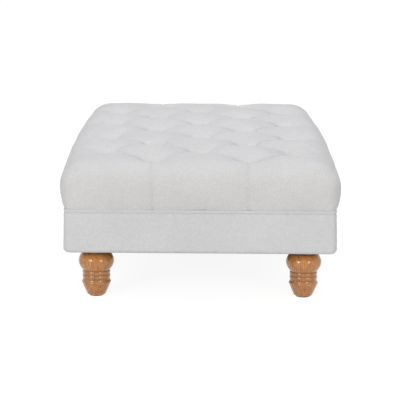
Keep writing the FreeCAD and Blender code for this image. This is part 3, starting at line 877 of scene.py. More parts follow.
@dataclass(frozen=True)
class TuftField:
    """Buttons on a diamond lattice, pleats between neighbours and straight out to the sides."""

    pitch_x: float
    pitch_y: float
    last_column: int = 2
    last_row: int = 4
    pleat_depth: float = 0.014
    side_share: float = 0.20
    side_width: float = 0.015
    fade_length: float = 0.055
    lay_share: float = 0.50
    fullness: float = 0.8
    fold_depth: float = 0.0035
    fold_width: float = 0.0045
    funnel_start: float = 0.011
    funnel_reach: float = 0.050
    funnel_curve: float = 0.7
    wander_across: Ripple = Ripple(0.0045, 0.085, 11)
    wander_along: Ripple = Ripple(0.0045, 0.085, 12)
    gather_depth: float = 0.0016
    gather_count: int = 11
    gather_place: float = 0.024
    gather_reach: float = 0.013
    gather_unevenness: float = 0.25
    gather_seed: int = 5

    def places(self) -> list[tuple[int, int]]:
        """Find the buttons: odd columns on even rows, even columns on odd rows, none in the corners.

        Returns:
            Column and row of every button.
        """
        found = []
        for row in range(-self.last_row, self.last_row + 1):
            for column in range(-self.last_column, self.last_column + 1):
                in_corner = abs(row) == self.last_row and abs(column) == self.last_column
                if (row + column) % 2 and not in_corner:
                    found.append((column, row))
        return found

    def point(self, column: float, row: float) -> Array:
        """Place of a lattice point on the sheet."""
        return np.array((column * self.pitch_x, row * self.pitch_y))

    def pleats(self, reach: tuple[float, float]) -> list[tuple[Array, Array, float, bool]]:
        """Ends of every pleat, how deep it lies, and whether it runs out to a side.

        The folds are laid towards one hand, so the pleats that lean to the left lie deeper, and so
        do those along the right-hand side.

        Args:
            reach: Half sizes of the unfolded sheet.

        Returns:
            Start, end, share of the full depth and side mark of each pleat.
        """
        places = set(self.places())
        found = []
        for column, row in sorted(places):
            start = self.point(column, row)
            for step in (-1, 1):
                if (column + step, row + 1) in places:
                    is_deep = step < 0 or column + step == self.last_column
                    share = 1.0 if is_deep else self.lay_share
                    found.append((start, self.point(column + step, row + 1), share, False))
            if abs(column) == self.last_column:
                found.append((start, np.array((math.copysign(reach[0], column), start[1])), 1.0, True))
            if abs(row) == self.last_row:
                found.append((start, np.array((start[0], math.copysign(reach[1], row))), 1.0, True))
        return found

    def valleys(self, u: Array, v: Array, reach: tuple[float, float]) -> tuple[Array, Array]:
        """Depth of the cloth below the puffs' crests, and nearness to a fold.

        With f = (1 - (1 - q / w)^2)^m at a distance q from a pleat of width w, a puff's height is the
        product of f over the pleats. A pleat that runs down a side fades and narrows on its way. A
        narrow fold in the bottom of each pleat adds d exp(-(q / s)^1.5). Away from the buttons, smooth
        noise shifts the place where q is read, so the pleats wander.

        Args:
            u: Place across the unfolded sheet.
            v: Place along it.
            reach: Half sizes of the unfolded sheet.

        Returns:
            The depth, and a mask from 0 to 1 at the folds.
        """
        calm = 1.0 - self.pull(u, v)
        bent_u = u + calm * self.wander_across.at(u, v)
        bent_v = v + calm * self.wander_along.at(u, v)
        puff = np.ones_like(u)
        fold = np.zeros_like(u)
        full_width = math.hypot(self.pitch_x, self.pitch_y) / 2.0
        for start, end, share, is_side in self.pleats(reach):
            line = end - start
            length = math.hypot(*line)
            reached = (bent_u - start[0]) * line[0] + (bent_v - start[1]) * line[1]
            along = np.clip(reached / length**2, 0.0, 1.0)
            gap = np.hypot(bent_u - start[0] - along * line[0], bent_v - start[1] - along * line[1])
            fade = smoothstep(along * length / self.fade_length) if is_side else 0.0
            strength = share * (1.0 - (1.0 - self.side_share) * fade)
            width = full_width + (self.side_width - full_width) * fade
            rise = (1.0 - (1.0 - np.clip(gap / width, 0.0, 1.0)) ** 2) ** self.fullness
            puff *= 1.0 - strength * (1.0 - rise)
            fold = np.maximum(fold, strength * np.exp(-((gap / self.fold_width) ** 1.5)))
        depth = self.pleat_depth * (1.0 - puff) + self.fold_depth * fold
        return depth, fold

    def pull(self, u: Array, v: Array) -> Array:
        """How strongly the cloth is drawn down to a button's seat: 1 - t^c, t from the seat outwards.

        Args:
            u: Place across the unfolded sheet.
            v: Place along it.

        Returns:
            The pull, 1 at a seat and 0 away from the buttons.
        """
        pull = np.zeros_like(u)
        span = self.funnel_reach - self.funnel_start
        for column, row in self.places():
            x, y = self.point(column, row)
            share = np.clip((np.hypot(u - x, v - y) - self.funnel_start) / span, 0.0, 1.0)
            pull = np.maximum(pull, 1.0 - share**self.funnel_curve)
        return pull

    def gathers(self, u: Array, v: Array) -> Array:
        """Depth of the small folds that radiate from each button.

        At an angle a round a button and a distance q from it, it is
        d cos(n (a + w sin(2 a + warp)) + phase) exp(-((q - q0) / s)^2).

        Args:
            u: Place across the unfolded sheet.
            v: Place along it.

        Returns:
            The depth.
        """
        depth = np.zeros_like(u)
        draws = np.random.default_rng(self.gather_seed)
        phases = draws.uniform(0.0, 2.0 * math.pi, (len(self.places()), 2))
        for (column, row), (phase, warp) in zip(self.places(), phases):
            x, y = self.point(column, row)
            gap = np.hypot(u - x, v - y)
            angle = np.arctan2(v - y, u - x)
            uneven = angle + self.gather_unevenness * np.sin(2.0 * angle + warp)
            wave = np.cos(self.gather_count * uneven + phase)
            fade = np.exp(-(((gap - self.gather_place) / self.gather_reach) ** 2))
            depth += self.gather_depth * wave * fade
        return depth


@dataclass(frozen=True)
class Inflation:
    """A short cloth simulation that blows a padded cover up against what holds it."""

    pressure: float = 4.0
    frames: int = 20
    cap: float = 0.007
    weight_levels: int = 10
    quality: int = 6
    mass: float = 0.3
    stretch_stiffness: float = 20.0
    bend_stiffness: float = 0.8

    def settle(self, points: Array, faces: Sequence[Array], hold: Array) -> Array:
        """Inflate a closed mesh and give how far each point moved, no further than the cap.

        Args:
            points: The points at the start.
            faces: Arrays of point numbers.
            hold: How firmly each point is held, from 0 to 1.

        Returns:
            The movement of each point.
        """
        mesh = make_mesh("inflation", points, faces)
        pad = bpy.data.objects.new("inflation", mesh)
        scene = bpy.context.scene
        scene.collection.objects.link(pad)
        group = pad.vertex_groups.new(name="held")
        levels = np.round(hold * self.weight_levels).astype(int)
        for level in np.unique(levels):
            members = np.nonzero(levels == level)[0].tolist()
            group.add(members, float(level) / self.weight_levels, "REPLACE")
        cloth = pad.modifiers.new("inflation", "CLOTH")
        cloth.settings.quality = self.quality
        cloth.settings.mass = self.mass
        cloth.settings.tension_stiffness = self.stretch_stiffness
        cloth.settings.compression_stiffness = self.stretch_stiffness
        cloth.settings.bending_stiffness = self.bend_stiffness
        cloth.settings.use_pressure = True
        cloth.settings.uniform_pressure_force = self.pressure
        cloth.settings.effector_weights.gravity = 0.0
        cloth.settings.vertex_group_mass = group.name
        cloth.point_cache.frame_start = 1
        cloth.point_cache.frame_end = self.frames
        for number in range(1, self.frames + 1):
            scene.frame_set(number)
        settled = np.empty(3 * len(points), np.float32)
        shown = pad.evaluated_get(bpy.context.evaluated_depsgraph_get())
        shown.data.vertices.foreach_get("co", settled)
        scene.frame_set(1)
        bpy.data.objects.remove(pad)
        bpy.data.meshes.remove(mesh)
        moved = settled.reshape(-1, 3).astype(float) - points
        length = np.linalg.norm(moved, axis=1, keepdims=True)
        return moved * np.minimum(1.0, self.cap / np.maximum(length, TINY))


def cubic_weights(coarse: Array, fine: Array) -> Array:
    """Weights that read a row of even samples at other places, by cubic convolution.

    The weight at a distance s of samples is 1.5 s^3 - 2.5 s^2 + 1 up to 1, and
    -0.5 s^3 + 2.5 s^2 - 4 s + 2 from 1 to 2.

    Args:
        coarse: Places of the samples.
        fine: Places to read at.

    Returns:
        A matrix with a row for each place that is read.
    """
    gap = np.abs((fine[:, None] - coarse[None, :]) / (coarse[1] - coarse[0]))
    near = 1.5 * gap**3 - 2.5 * gap**2 + 1.0
    far = -0.5 * gap**3 + 2.5 * gap**2 - 4.0 * gap + 2.0
    weights = np.where(gap <= 1.0, near, np.where(gap < 2.0, far, 0.0))
    return weights / weights.sum(axis=1, keepdims=True)


def unit_normals(points: Array) -> Array:
    """Normals of a grid of points: the cross product of its steps along a row and down a column."""
    normal = np.cross(np.gradient(points, axis=1), np.gradient(points, axis=0))
    return normal / np.maximum(np.linalg.norm(normal, axis=-1, keepdims=True), LEAST_NORMAL)


@dataclass
class ButtonedTop:
    """The buttoned cover with its quilted wadding, open below round the foam and the deck."""

    form: TopForm
    tufts: TuftField
    seat: float
    finish: BoucleFinish
    mouth: tuple[float, float]
    pocket: tuple[float, float]
    pocket_floor: float
    pocket_top: float
    spacing: float = 0.0038
    coarse_spacing: float = 0.0095
    padding: Ripple = Ripple(0.0016, 0.11, 22)
    lumps: Ripple = Ripple(0.0007, 0.034, 23)
    yarn_loops: Ripple = Ripple(0.00035, 0.0085, 24)
    puckers: Ripple = Ripple(0.0012, 0.017, 21)
    pucker_reach: float = 0.028
    calm_edge: float = 0.012
    button_hold: float = 1.6
    fold_hold: float = 0.5
    # Shares of painted shade in the folds and down the buttons' funnels.
    fold_shade: float = 0.55
    funnel_shade: float = 0.35
    inflation: Inflation = field(default_factory=Inflation)

    def sheet(self, spacing: float) -> tuple[Array, Array]:
        """Places of the sheet's grid lines, evenly spaced from edge to edge.

        Args:
            spacing: The wanted distance between lines.

        Returns:
            Places across and along.
        """
        reach_x, reach_y = self.reach
        across = np.linspace(-reach_x, reach_x, 1 + 2 * round(reach_x / spacing))
        along = np.linspace(-reach_y, reach_y, 1 + 2 * round(reach_y / spacing))
        return across, along

    @property
    def reach(self) -> tuple[float, float]:
        """Half sizes of the unfolded sheet."""
        flat_x, flat_y = self.form.flat
        return flat_x + self.form.side_length, flat_y + self.form.side_length

    def tufted(self, across: Array, along: Array) -> tuple[Array, Array, Array]:
        """The sheet laid on the form and drawn down into its pleats and buttons.

        Args:
            across: Places of the grid lines across.
            along: Places of the grid lines along.

        Returns:
            The points, the fold mask and the buttons' pull.
        """
        u, v = np.meshgrid(across, along)
        base = self.form.surface(u, v)
        valley, fold = self.tufts.valleys(u, v, self.reach)
        pull = self.tufts.pull(u, v)
        flat_x, flat_y = self.form.flat
        to_seam = self.form.side_length - np.maximum(np.abs(u) - flat_x, np.abs(v) - flat_y)
        puckers = self.puckers.at(u + v, u - v) * np.exp(-to_seam / self.pucker_reach)
        relief = self.padding.at(u, v) + self.lumps.at(u, v) + self.yarn_loops.at(u, v) + puckers
        depth = self.tufts.gathers(u, v) + smoothstep(to_seam / self.calm_edge) * (valley + relief)
        points = base - unit_normals(base) * depth[..., None]
        points[..., 2] = points[..., 2] * (1.0 - pull) + self.seat * pull
        return points, fold, pull

    def underside(self, rim: Array) -> list[Array]:
        """Rings from the seam in under the deck, up round the foam and over it.

        Args:
            rim: Points of the sheet's edge.

        Returns:
            Points of each ring.
        """
        reach = np.abs(rim).max(axis=0)
        rings = []
        stops = (
            (self.mouth, self.form.seam),
            (self.mouth, self.pocket_floor),
            (self.pocket, self.pocket_floor),
            (self.pocket, self.pocket_top),
        )
        for (half_x, half_y), height in stops:
            ring = rim * np.array((half_x / reach[0], half_y / reach[1], 0.0))
            ring[:, 2] = height
            rings.append(ring)
        return rings

    def settled_movement(self, across: Array, along: Array) -> Array:
        """How far the simulated padding moves each point of the fine sheet.

        Args:
            across: Places of the fine grid lines across.
            along: Places of the fine grid lines along.

        Returns:
            The movement of each point.
        """
        coarse_across, coarse_along = self.sheet(self.coarse_spacing)
        points, fold, pull = self.tufted(coarse_across, coarse_along)
        rows, columns = pull.shape
        index = np.arange(rows * columns).reshape(rows, columns)
        rim = edge_ring(index)
        hub = np.array(((0.0, 0.0, self.form.seam),))
        closed = np.concatenate((points.reshape(-1, 3), hub))
        spokes = np.stack((np.roll(rim, -1), rim, np.full(len(rim), rows * columns)), axis=-1)
        hold = np.clip(self.button_hold * pull + self.fold_hold * fold, 0.0, 1.0)
        hold[[0, 1, -2, -1], :] = 1.0
        hold[:, [0, 1, -2, -1]] = 1.0
        held = np.append(hold.ravel(), 1.0)
        moved = self.inflation.settle(closed, (grid_faces(rows, columns), spokes), held)[:-1]
        grid = moved.reshape(rows, columns, 3)
        by_row = cubic_weights(coarse_along, along)
        by_column = cubic_weights(coarse_across, across)
        return np.einsum("ri,ijk,cj->rck", by_row, grid, by_column, optimize=True)

    def build(self) -> bpy.types.Object:
        """Make the top.

        Returns:
            The piece.
        """
        across, along = self.sheet(self.spacing)
        points, fold, pull = self.tufted(across, along)
        free = (1.0 - pull)[..., None]
        points = points + free * self.settled_movement(across, along)
        rows, columns = pull.shape
        index = np.arange(rows * columns).reshape(rows, columns)
        rim = edge_ring(index)
        cloud = [points.reshape(-1, 3)]
        faces = [grid_faces(rows, columns)]
        outer, count = rim, rows * columns
        for ring in self.underside(cloud[0][rim]):
            inner = count + np.arange(len(rim))
            cloud.append(ring)
            faces.append(ring_faces(outer, inner))
            outer, count = inner, count + len(rim)
        faces.append(outer[::-1][None, :])
        every = np.concatenate(cloud)
        piece = make_piece("buttoned_top", every, faces, self.finish.material(), ["top_cover"])
        shade = np.zeros(len(every))
        # Painted shade for the cloth's colour: darker in the folds and down the buttons' funnels.
        painted_shade = np.clip(self.fold_shade * fold + self.funnel_shade * pull**3, 0.0, 1.0)
        shade[: rows * columns] = painted_shade.ravel()
        set_attribute(piece, self.finish.painted_shade_mask, shade)
        return piece


def edge_ring(index: Array) -> Array:
    """Point numbers round the edge of a grid, anticlockwise from its first corner."""
    return np.concatenate((index[0, :-1], index[:-1, -1], index[-1, :0:-1], index[:0:-1, 0]))


@dataclass
class CoveredButtons:
    """Cloth-covered buttons, one in the bottom of each funnel."""

    tufts: TuftField
    seat: float
    finish: BoucleFinish
    radius: float = 0.0125
    foot: float = 0.010
    thickness: float = 0.008
    wall: tuple[float, float] = (0.97, 0.3)
    rim: float = 0.45
    dome_power: float = 0.75
    dome_steps: int = 13
    pucker_depth: float = 0.012
    pucker_count: int = 12
    pucker_reach: float = 0.002
    tilt: float = 0.05
    tilt_seed: int = 8
    sides: int = 36

    def profile(self) -> tuple[Array, Array]:
        """Radius and height up a button: a foot, a wall, a rim and a dome.

        The wall's and the rim's places are shares of the radius r and the thickness t. Over the rim
        at a height h, the dome's radius is r cos(a)^p and its height h + (t - h) sin(a).

        Returns:
            Radius and height of each ring.
        """
        rim = self.rim * self.thickness
        wall_radii = (self.foot, self.wall[0] * self.radius, self.radius)
        wall_heights = (0.0, self.wall[1] * self.thickness, rim)
        dome = np.linspace(0.0, QUARTER, self.dome_steps)[1:-1]
        radii = np.concatenate((wall_radii, self.radius * np.cos(dome) ** self.dome_power))
        heights = np.concatenate((wall_heights, rim + (self.thickness - rim) * np.sin(dome)))
        return radii, heights

    def build(self) -> bpy.types.Object:
        """Make the buttons.

        The profile is turned round an axis that leans a little, z = seat + h + r (lean . (cos t, sin t)),
        with a faint pucker of the cloth at the rim.

        Returns:
            The piece.
        """
        radii, heights = self.profile()
        angle = np.linspace(0.0, 2.0 * math.pi, self.sides, endpoint=False)
        from_rim = np.abs(heights - self.rim * self.thickness)[:, None]
        wave = np.cos(self.pucker_count * angle)[None, :]
        pucker = 1.0 + self.pucker_depth * wave * np.exp(-from_rim / self.pucker_reach)
        ring_x = radii[:, None] * np.cos(angle) * pucker
        ring_y = radii[:, None] * np.sin(angle) * pucker
        draws = np.random.default_rng(self.tilt_seed)
        lean = draws.uniform(-self.tilt, self.tilt, (len(self.tufts.places()), 2))
        quads = grid_faces(len(radii), self.sides, wrap_columns=True)
        caps = np.stack((np.arange(self.sides)[::-1], (len(radii) - 1) * self.sides + np.arange(self.sides)))
        cloud, bands, ends = [], [], []
        for number, (place, slope) in enumerate(zip(self.tufts.places(), lean)):
            x, y = self.tufts.point(*place)
            share = (heights / self.thickness)[:, None]
            z = self.seat + heights[:, None] + share * (ring_x * slope[0] + ring_y * slope[1])
            cloud.append(np.stack((x + ring_x, y + ring_y, z), axis=-1).reshape(-1, 3))
            first = number * len(radii) * self.sides
            bands.append(quads + first)
            ends.append(caps + first)
        faces = (np.concatenate(bands), np.concatenate(ends))
        every = np.concatenate(cloud)
        material = self.finish.material()
        return make_piece("covered_buttons", every, faces, material, ["tuft_buttons"])


@dataclass
class SoftBand:
    """A padded ring round the frame: cloth or wadding with round edges, turned in above and below.

    The heights of its lumps, dents and puckers are shares of its relief.
    """

    name: str
    node: str
    slot: str
    finish: BoucleFinish | SpeckledFinish
    half_x: float
    half_y: float
    low: float
    high: float
    corner: float
    rounding: float
    thickness: float
    flap: float
    fill: float
    relief: float = 0.0016
    spacing: float = 0.0045
    lumps: Ripple = Ripple(1.0, 0.12, 31)
    dents: Ripple = Ripple(0.5, 0.045, 32)
    puckers: Ripple = Ripple(0.5, 0.016, 33)
    yarn_loops: Ripple = Ripple(0.0003, 0.0085, 34)
    lining_share: float = 0.6
    pucker_squash: float = 0.4
    pucker_reach: float = 0.012
    calm_edge: float = 0.004

    def section(self) -> tuple[Array, Array, Array]:
        """The ring's closed section: outside with two rounded edges, then back along the inside.

        Returns:
            Inset and height of each point, and how much of the padding's relief it takes.
        """
        turn = np.linspace(0.0, QUARTER, 9)
        rise = np.linspace(self.low + self.rounding, self.high - self.rounding, 18)[1:-1]
        under = np.linspace(self.flap, self.rounding, 4)[:-1]
        inwards = np.concatenate((under, self.rounding * (1.0 - np.sin(turn))))
        upwards = np.concatenate((np.zeros(len(under)), self.rounding * (1.0 - np.cos(turn))))
        outer_inset = np.concatenate((inwards, np.zeros(len(rise)), inwards[::-1]))
        outer_height = np.concatenate((self.low + upwards, rise, (self.high - upwards)[::-1]))
        middle = (self.low + self.high) / 2.0
        shrink_height = 1.0 - 2.0 * self.thickness / (self.high - self.low)
        inner_inset = np.maximum(outer_inset, self.thickness + self.lining_share * outer_inset)
        inner_inset = np.minimum(inner_inset, self.flap)[::-1]
        inner_height = (middle + (outer_height - middle) * shrink_height)[::-1]
        share = np.concatenate((np.exp(-outer_inset / self.calm_edge), np.zeros(len(inner_inset))))
        return np.concatenate((outer_inset, inner_inset)), np.concatenate((outer_height, inner_height)), share

    def build(self) -> bpy.types.Object:
        """Make the band: the section carried round the outline, with uneven padding on its face.

        Returns:
            The piece.
        """
        outline = RoundedOutline.spaced(self.half_x, self.half_y, self.spacing, 14)
        distance = outline.distance(self.half_x, self.half_y, self.corner)[None, :]
        inset, height, share = (part[:, None] for part in self.section())
        along, up = np.broadcast_arrays(distance, height)
        near_seam = np.exp(-(self.high - up) / self.pucker_reach)
        puckers = self.puckers.at(along, up * self.pucker_squash) * near_seam
        uneven = self.lumps.at(along, up) + self.dents.at(along, up) + puckers
        depth = inset - share * (self.relief * uneven + self.yarn_loops.at(along, up))
        corner = np.maximum(self.corner - depth, SHARPEST_CORNER)
        points = outline.trace(self.half_x - depth, self.half_y - depth, corner, height)
        rows, columns = points.shape[:2]
        faces = (grid_faces(rows, columns, wrap_rows=True, wrap_columns=True),)
        cloud = points.reshape(-1, 3)
        piece = make_piece(self.name, cloud, faces, self.finish.material(), [self.node])
        return piece


@dataclass
class Piping:
    """The covered cord in the seam, with its sewing tape turned in between top and base.

    Its unevenness and the depth of its creases are shares of its radius.
    """

    half_x: float
    half_y: float
    height: float
    finish: BoucleFinish
    corner: float = 0.015
    radius: float = 0.0040
    tape_width: float = 0.025
    tape_low: float = -0.0018
    tape_high: float = -0.0006
    spacing: float = 0.003
    unevenness: Ripple = Ripple(0.05, 0.03, 41)
    crease_depth: float = 0.02
    crease_pitch: float = 0.0017

    def build(self) -> bpy.types.Object:
        """Make the piping.

        The section is a circle, open where the tape leaves it. Its radius breathes by a few percent
        with slanting creases of the bias-cut cloth: r (1 + a n(s) + b cos(s / l + t)).

        Returns:
            The piece.
        """
        start = -math.pi - math.asin(self.tape_low / self.radius)
        stop = math.pi - math.asin(self.tape_high / self.radius)
        angle = np.linspace(start + 2.0 * math.pi * (start < -math.pi), stop, 21)[:, None]
        outline = RoundedOutline.spaced(self.half_x, self.half_y, self.spacing, 16)
        distance = outline.distance(self.half_x, self.half_y, self.corner)[None, :]
        along, around = np.broadcast_arrays(distance, angle)
        creases = self.crease_depth * np.cos(along / self.crease_pitch + around)
        radius = self.radius * (1.0 + self.unevenness.at(along, np.zeros_like(along)) + creases)
        inset = -radius * np.cos(around)
        rise = radius * np.sin(around)
        tape_inset = np.array((0.6, 1.0, 1.0, 0.6))[:, None] * self.tape_width
        tape_rise = np.array((self.tape_high, self.tape_high, self.tape_low, self.tape_low))[:, None]
        inset = np.concatenate((inset, np.broadcast_to(tape_inset, (4, distance.shape[1]))))
        rise = np.concatenate((rise, np.broadcast_to(tape_rise, (4, distance.shape[1]))))
        corner = np.maximum(self.corner - inset, SHARPEST_CORNER)
        points = outline.trace(self.half_x - inset, self.half_y - inset, corner, self.height + rise)
        rows, columns = points.shape[:2]
        faces = (grid_faces(rows, columns, wrap_rows=True, wrap_columns=True),)
        material = self.finish.material()
        return make_piece("seam_piping", points.reshape(-1, 3), faces, material, ["piping"])


@dataclass
class FoamBlock:
    """The foam on the deck, its cut edges a little soft and its faces a little uneven."""

    half_x: float
    half_y: float
    low: float
    high: float
    finish: SpeckledFinish
    corner: float = 0.020
    edge: float = 0.003
    spacing: float = 0.012
    softness: Ripple = Ripple(0.0006, 0.03, 51)

    def build(self) -> bpy.types.Object:
        """Make the block: level outlines up its walls, closed by a flat face above and below.

        Returns:
            The piece.
        """
        outline = RoundedOutline.spaced(self.half_x, self.half_y, self.spacing, 10)
        distance = outline.distance(self.half_x, self.half_y, self.corner)[None, :]
        turn = np.linspace(0.0, QUARTER, 5)
        inwards, upwards = self.edge * (1.0 - np.sin(turn)), self.edge * (1.0 - np.cos(turn))
        walls = np.linspace(self.low + self.edge, self.high - self.edge, 10)[1:-1]
        inset = np.concatenate((inwards, np.zeros(len(walls)), upwards))[:, None]
        height = np.concatenate((self.low + upwards, walls, self.high - inwards))[:, None]
        along, up = np.broadcast_arrays(distance, height)
        depth = inset + self.softness.height + self.softness.at(along, up)
        points = outline.trace(self.half_x - depth, self.half_y - depth, self.corner - depth, height)
        rows, columns = points.shape[:2]
        ends = np.stack((np.arange(columns)[::-1], (rows - 1) * columns + np.arange(columns)))
        faces = (grid_faces(rows, columns, wrap_columns=True), ends)
        cloud = points.reshape(-1, 3)
        piece = make_piece("foam_cushion", cloud, faces, self.finish.material(), ["foam_block"])
        return piece


@dataclass
class BottomCloth:
    """The cloth under the base, drawn tight between the rails and cut out round the legs."""

    half_x: float
    half_y: float
    height: float
    notch_x: float
    notch_y: float
    finish: SpeckledFinish
    thickness: float = 0.0008
    sag: float = 0.003
    ripple: Ripple = Ripple(0.0002, 0.05, 61)
    cells: int = 8

    def build(self) -> bpy.types.Object:
        """Make the cloth: z = z0 - sag (1 - (x/a)^2) (1 - (y/b)^2), with cells left out at the corners.

        Returns:
            The piece.
        """
        across = self.lines(self.half_x, self.notch_x)
        along = self.lines(self.half_y, self.notch_y)
        x, y = np.meshgrid(across, along)
        slack = (1.0 - (x / self.half_x) ** 2) * (1.0 - (y / self.half_y) ** 2)
        z = self.height - self.sag * slack + self.ripple.at(x, y)
        quads = grid_faces(len(along), len(across))
        sheet = np.stack((x, y, z), axis=-1).reshape(-1, 3)
        middle = sheet[quads].mean(axis=1)
        kept = quads[(np.abs(middle[:, 0]) < self.notch_x) | (np.abs(middle[:, 1]) < self.notch_y)]
        used, faces = np.unique(kept, return_inverse=True)
        top = sheet[used]
        faces = faces.reshape(-1, 4)
        bottom = top - np.array((0.0, 0.0, self.thickness))
        rim = self.open_edges(faces)
        walls = np.stack((rim[:, 1], rim[:, 0], rim[:, 0] + len(top), rim[:, 1] + len(top)), axis=-1)
        every = (faces, faces[:, ::-1] + len(top), walls)
        cloud = np.concatenate((top, bottom))
        material = self.finish.material()
        piece = make_piece("dust_cloth", cloud, every, material, ["bottom_cloth"])
        return piece

    def lines(self, half: float, notch: float) -> Array:
        """Grid lines from edge to edge, with one at each notch.

        Args:
            half: Half of the cloth's size in this direction.
            notch: Place of the notch's edge, from the middle.

        Returns:
            Places of the lines.
        """
        outer = np.linspace(notch, half, self.cells)
        inner = np.linspace(-notch, notch, 4 * self.cells)[1:-1]
        return np.concatenate((-outer[::-1], inner, outer))

    @staticmethod
    def open_edges(faces: Array) -> Array:
        """Directed edges that belong to one face only: those whose reverse no face has.

        Args:
            faces: Point numbers of the faces, four each.

        Returns:
            Point numbers of the edges, two each.
        """
        edges = np.concatenate([faces[:, [side, (side + 1) % 4]] for side in range(4)])
        size = int(faces.max()) + 1
        key = edges[:, 0] * size + edges[:, 1]
        return edges[~np.isin(key, edges[:, 1] * size + edges[:, 0])]


@dataclass
class TurnedLegs:
    """Four turned legs: a tapered foot, a ring, two beads, a bulb and a neck."""

    places: Sequence[tuple[str, float, float]]
    foot: float
    head: float
    finish: WoodFinish
    foot_radius: float = 0.0257
    foot_rounding: float = 0.0042
    waist_radius: float = 0.0349
    flare: tuple[float, float] = (0.0375, 0.0386)
    bead_low: float = 0.0475
    bead_band: float = 0.0108
    bead_radius: float = 0.0366
    bulb_band: float = 0.0485
    bulb_radius: float = 0.0468
    bead_power: float = 0.75
    bulb_power: float = 0.8
    taper_swell: float = 0.0005
    cove_lift: float = 0.0008
    neck_rise: float = 0.003
    groove_width: float = 0.0009
    # Rise over which the stain and painted shade fade in above the flare.
    stain_and_shade_rise: float = 0.016
    heart_distance: float = 0.10
    heart_lean: tuple[float, float] = (0.12, -0.10)
    heart_turn: float = 0.5
    heart_seed: int = 9
    sides: int = 72

    def swelling(
        self, low: float, band: float, widest: float, power: float, steps: int
    ) -> tuple[Array, Array]:
        """A bead or the bulb: radius w + (r - w) sin(pi t)^p over the waist's radius w.

        Args:
            low: Height of its lower edge.
            band: Its height.
            widest: Its radius.
            power: Fullness of its section, rounder for a smaller power.
            steps: Number of rings.

        Returns:
            Radius and height of each ring.
        """
        share = np.linspace(0.0, 1.0, steps)[1:]
        swell = np.maximum(np.sin(math.pi * share), 0.0) ** power
        return self.waist_radius + (widest - self.waist_radius) * swell, low + band * share

    def profile(self) -> tuple[Array, Array]:
        """Radius and height up the leg, with a cove q^2 from the flare's edge up to the first bead.

        Returns:
            Radius and height of each ring of points.
        """
        turn = np.linspace(0.0, QUARTER, 8)
        toe_radius = self.foot_radius - self.foot_rounding * (1.0 - np.sin(turn))
        toe_height = self.foot + self.foot_rounding * (1.0 - np.cos(turn))
        rise = np.linspace(0.0, 1.0, 16)[1:]
        flare_height, flare_radius = self.flare
        taper_radius = self.foot_radius + (flare_radius - self.foot_radius) * rise
        taper_radius += self.taper_swell * np.sin(math.pi * rise)
        taper_height = toe_height[-1] + (flare_height - toe_height[-1]) * rise
        fall = np.linspace(0.0, 1.0, 9)[1:]
        cove_radius = self.waist_radius + (flare_radius - self.waist_radius) * (1.0 - fall) ** 2
        cove_low = flare_height + self.cove_lift
        cove_height = cove_low + (self.bead_low - cove_low) * fall
        radii, heights = [toe_radius, taper_radius, cove_radius], [toe_height, taper_height, cove_height]
        bulb_low = self.bead_low + 2.0 * self.bead_band
        bead = (self.bead_band, self.bead_radius, self.bead_power, 14)
        swellings = (
            self.swelling(self.bead_low, *bead),
            self.swelling(self.bead_low + self.bead_band, *bead),
            self.swelling(bulb_low, self.bulb_band, self.bulb_radius, self.bulb_power, 32),
        )
        for swell_radius, swell_height in swellings:
            radii.append(swell_radius)
            heights.append(swell_height)
        radii.append(np.array((self.waist_radius, self.waist_radius)))
        heights.append(np.array((heights[-1][-1] + self.neck_rise, self.head)))
        return np.concatenate(radii), np.concatenate(heights)

    def build(self) -> list[bpy.types.Object]:
        """Make the legs: the profile turned round each leg's axis, with a billet of its own for the grain.

        The billet's heart runs beside the leg and leans a little, so its rings show as long strokes.

        Returns:
            The pieces.
        """
        radius, height = self.profile()
        angle = np.linspace(0.0, 2.0 * math.pi, self.sides, endpoint=False)
        local_x = radius[:, None] * np.cos(angle)
        local_y = radius[:, None] * np.sin(angle)
        local_z = np.broadcast_to(height[:, None], local_x.shape)
        # Groove mask for stain and painted shade: darkest where the profile comes in to the waist, in the
        # grooves and up the neck, fading in above the flare.
        hollow = np.exp(-np.maximum(radius - self.waist_radius, 0.0) / self.groove_width)
        hollow = hollow * smoothstep((height - self.flare[0]) / self.stain_and_shade_rise)
        groove = np.repeat(hollow, self.sides)
        rings = len(radius)
        quads = grid_faces(rings, self.sides, wrap_columns=True)
        ends = np.stack((np.arange(self.sides)[::-1], (rings - 1) * self.sides + np.arange(self.sides)))
        material = self.finish.material()
        draws = np.random.default_rng(self.heart_seed)
        turns = draws.uniform(-self.heart_turn, self.heart_turn, len(self.places))
        pieces = []
        for (name, x, y), turn in zip(self.places, turns):
            points = np.stack((x + local_x, y + local_y, local_z), axis=-1).reshape(-1, 3)
            title = "turned_leg_" + name
            piece = make_piece(title, points, (quads, ends), material, ["turned_legs"])
            from_heart_x = local_x - self.heart_distance * math.cos(turn) + self.heart_lean[0] * local_z
            from_heart_y = local_y - self.heart_distance * math.sin(turn) + self.heart_lean[1] * local_z
            billet = np.stack((local_z + turn, from_heart_x, from_heart_y), axis=-1)
            set_attribute(piece, self.finish.billet, billet.reshape(-1, 3))
            set_attribute(piece, self.finish.groove_mask, groove)
            pieces.append(piece)
        return pieces


@dataclass
class InnerParts:
    """The solids that keep their own shape and only take a finish."""

    dressing: dict[str, WoodFinish | SpeckledFinish]

    def dress(self) -> None:
        """Give every solid its finish, one material for each."""
        made: dict[str, bpy.types.Material] = {}
        for node, finish in self.dressing.items():
            if finish.name not in made:
                made[finish.name] = finish.material()
            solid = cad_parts[node]
            for place in solid.material_slots:
                place.material = made[finish.name]
            if not solid.material_slots:
                solid.data.materials.append(made[finish.name])
            LOG.info("%s: %s", node, finish.name)


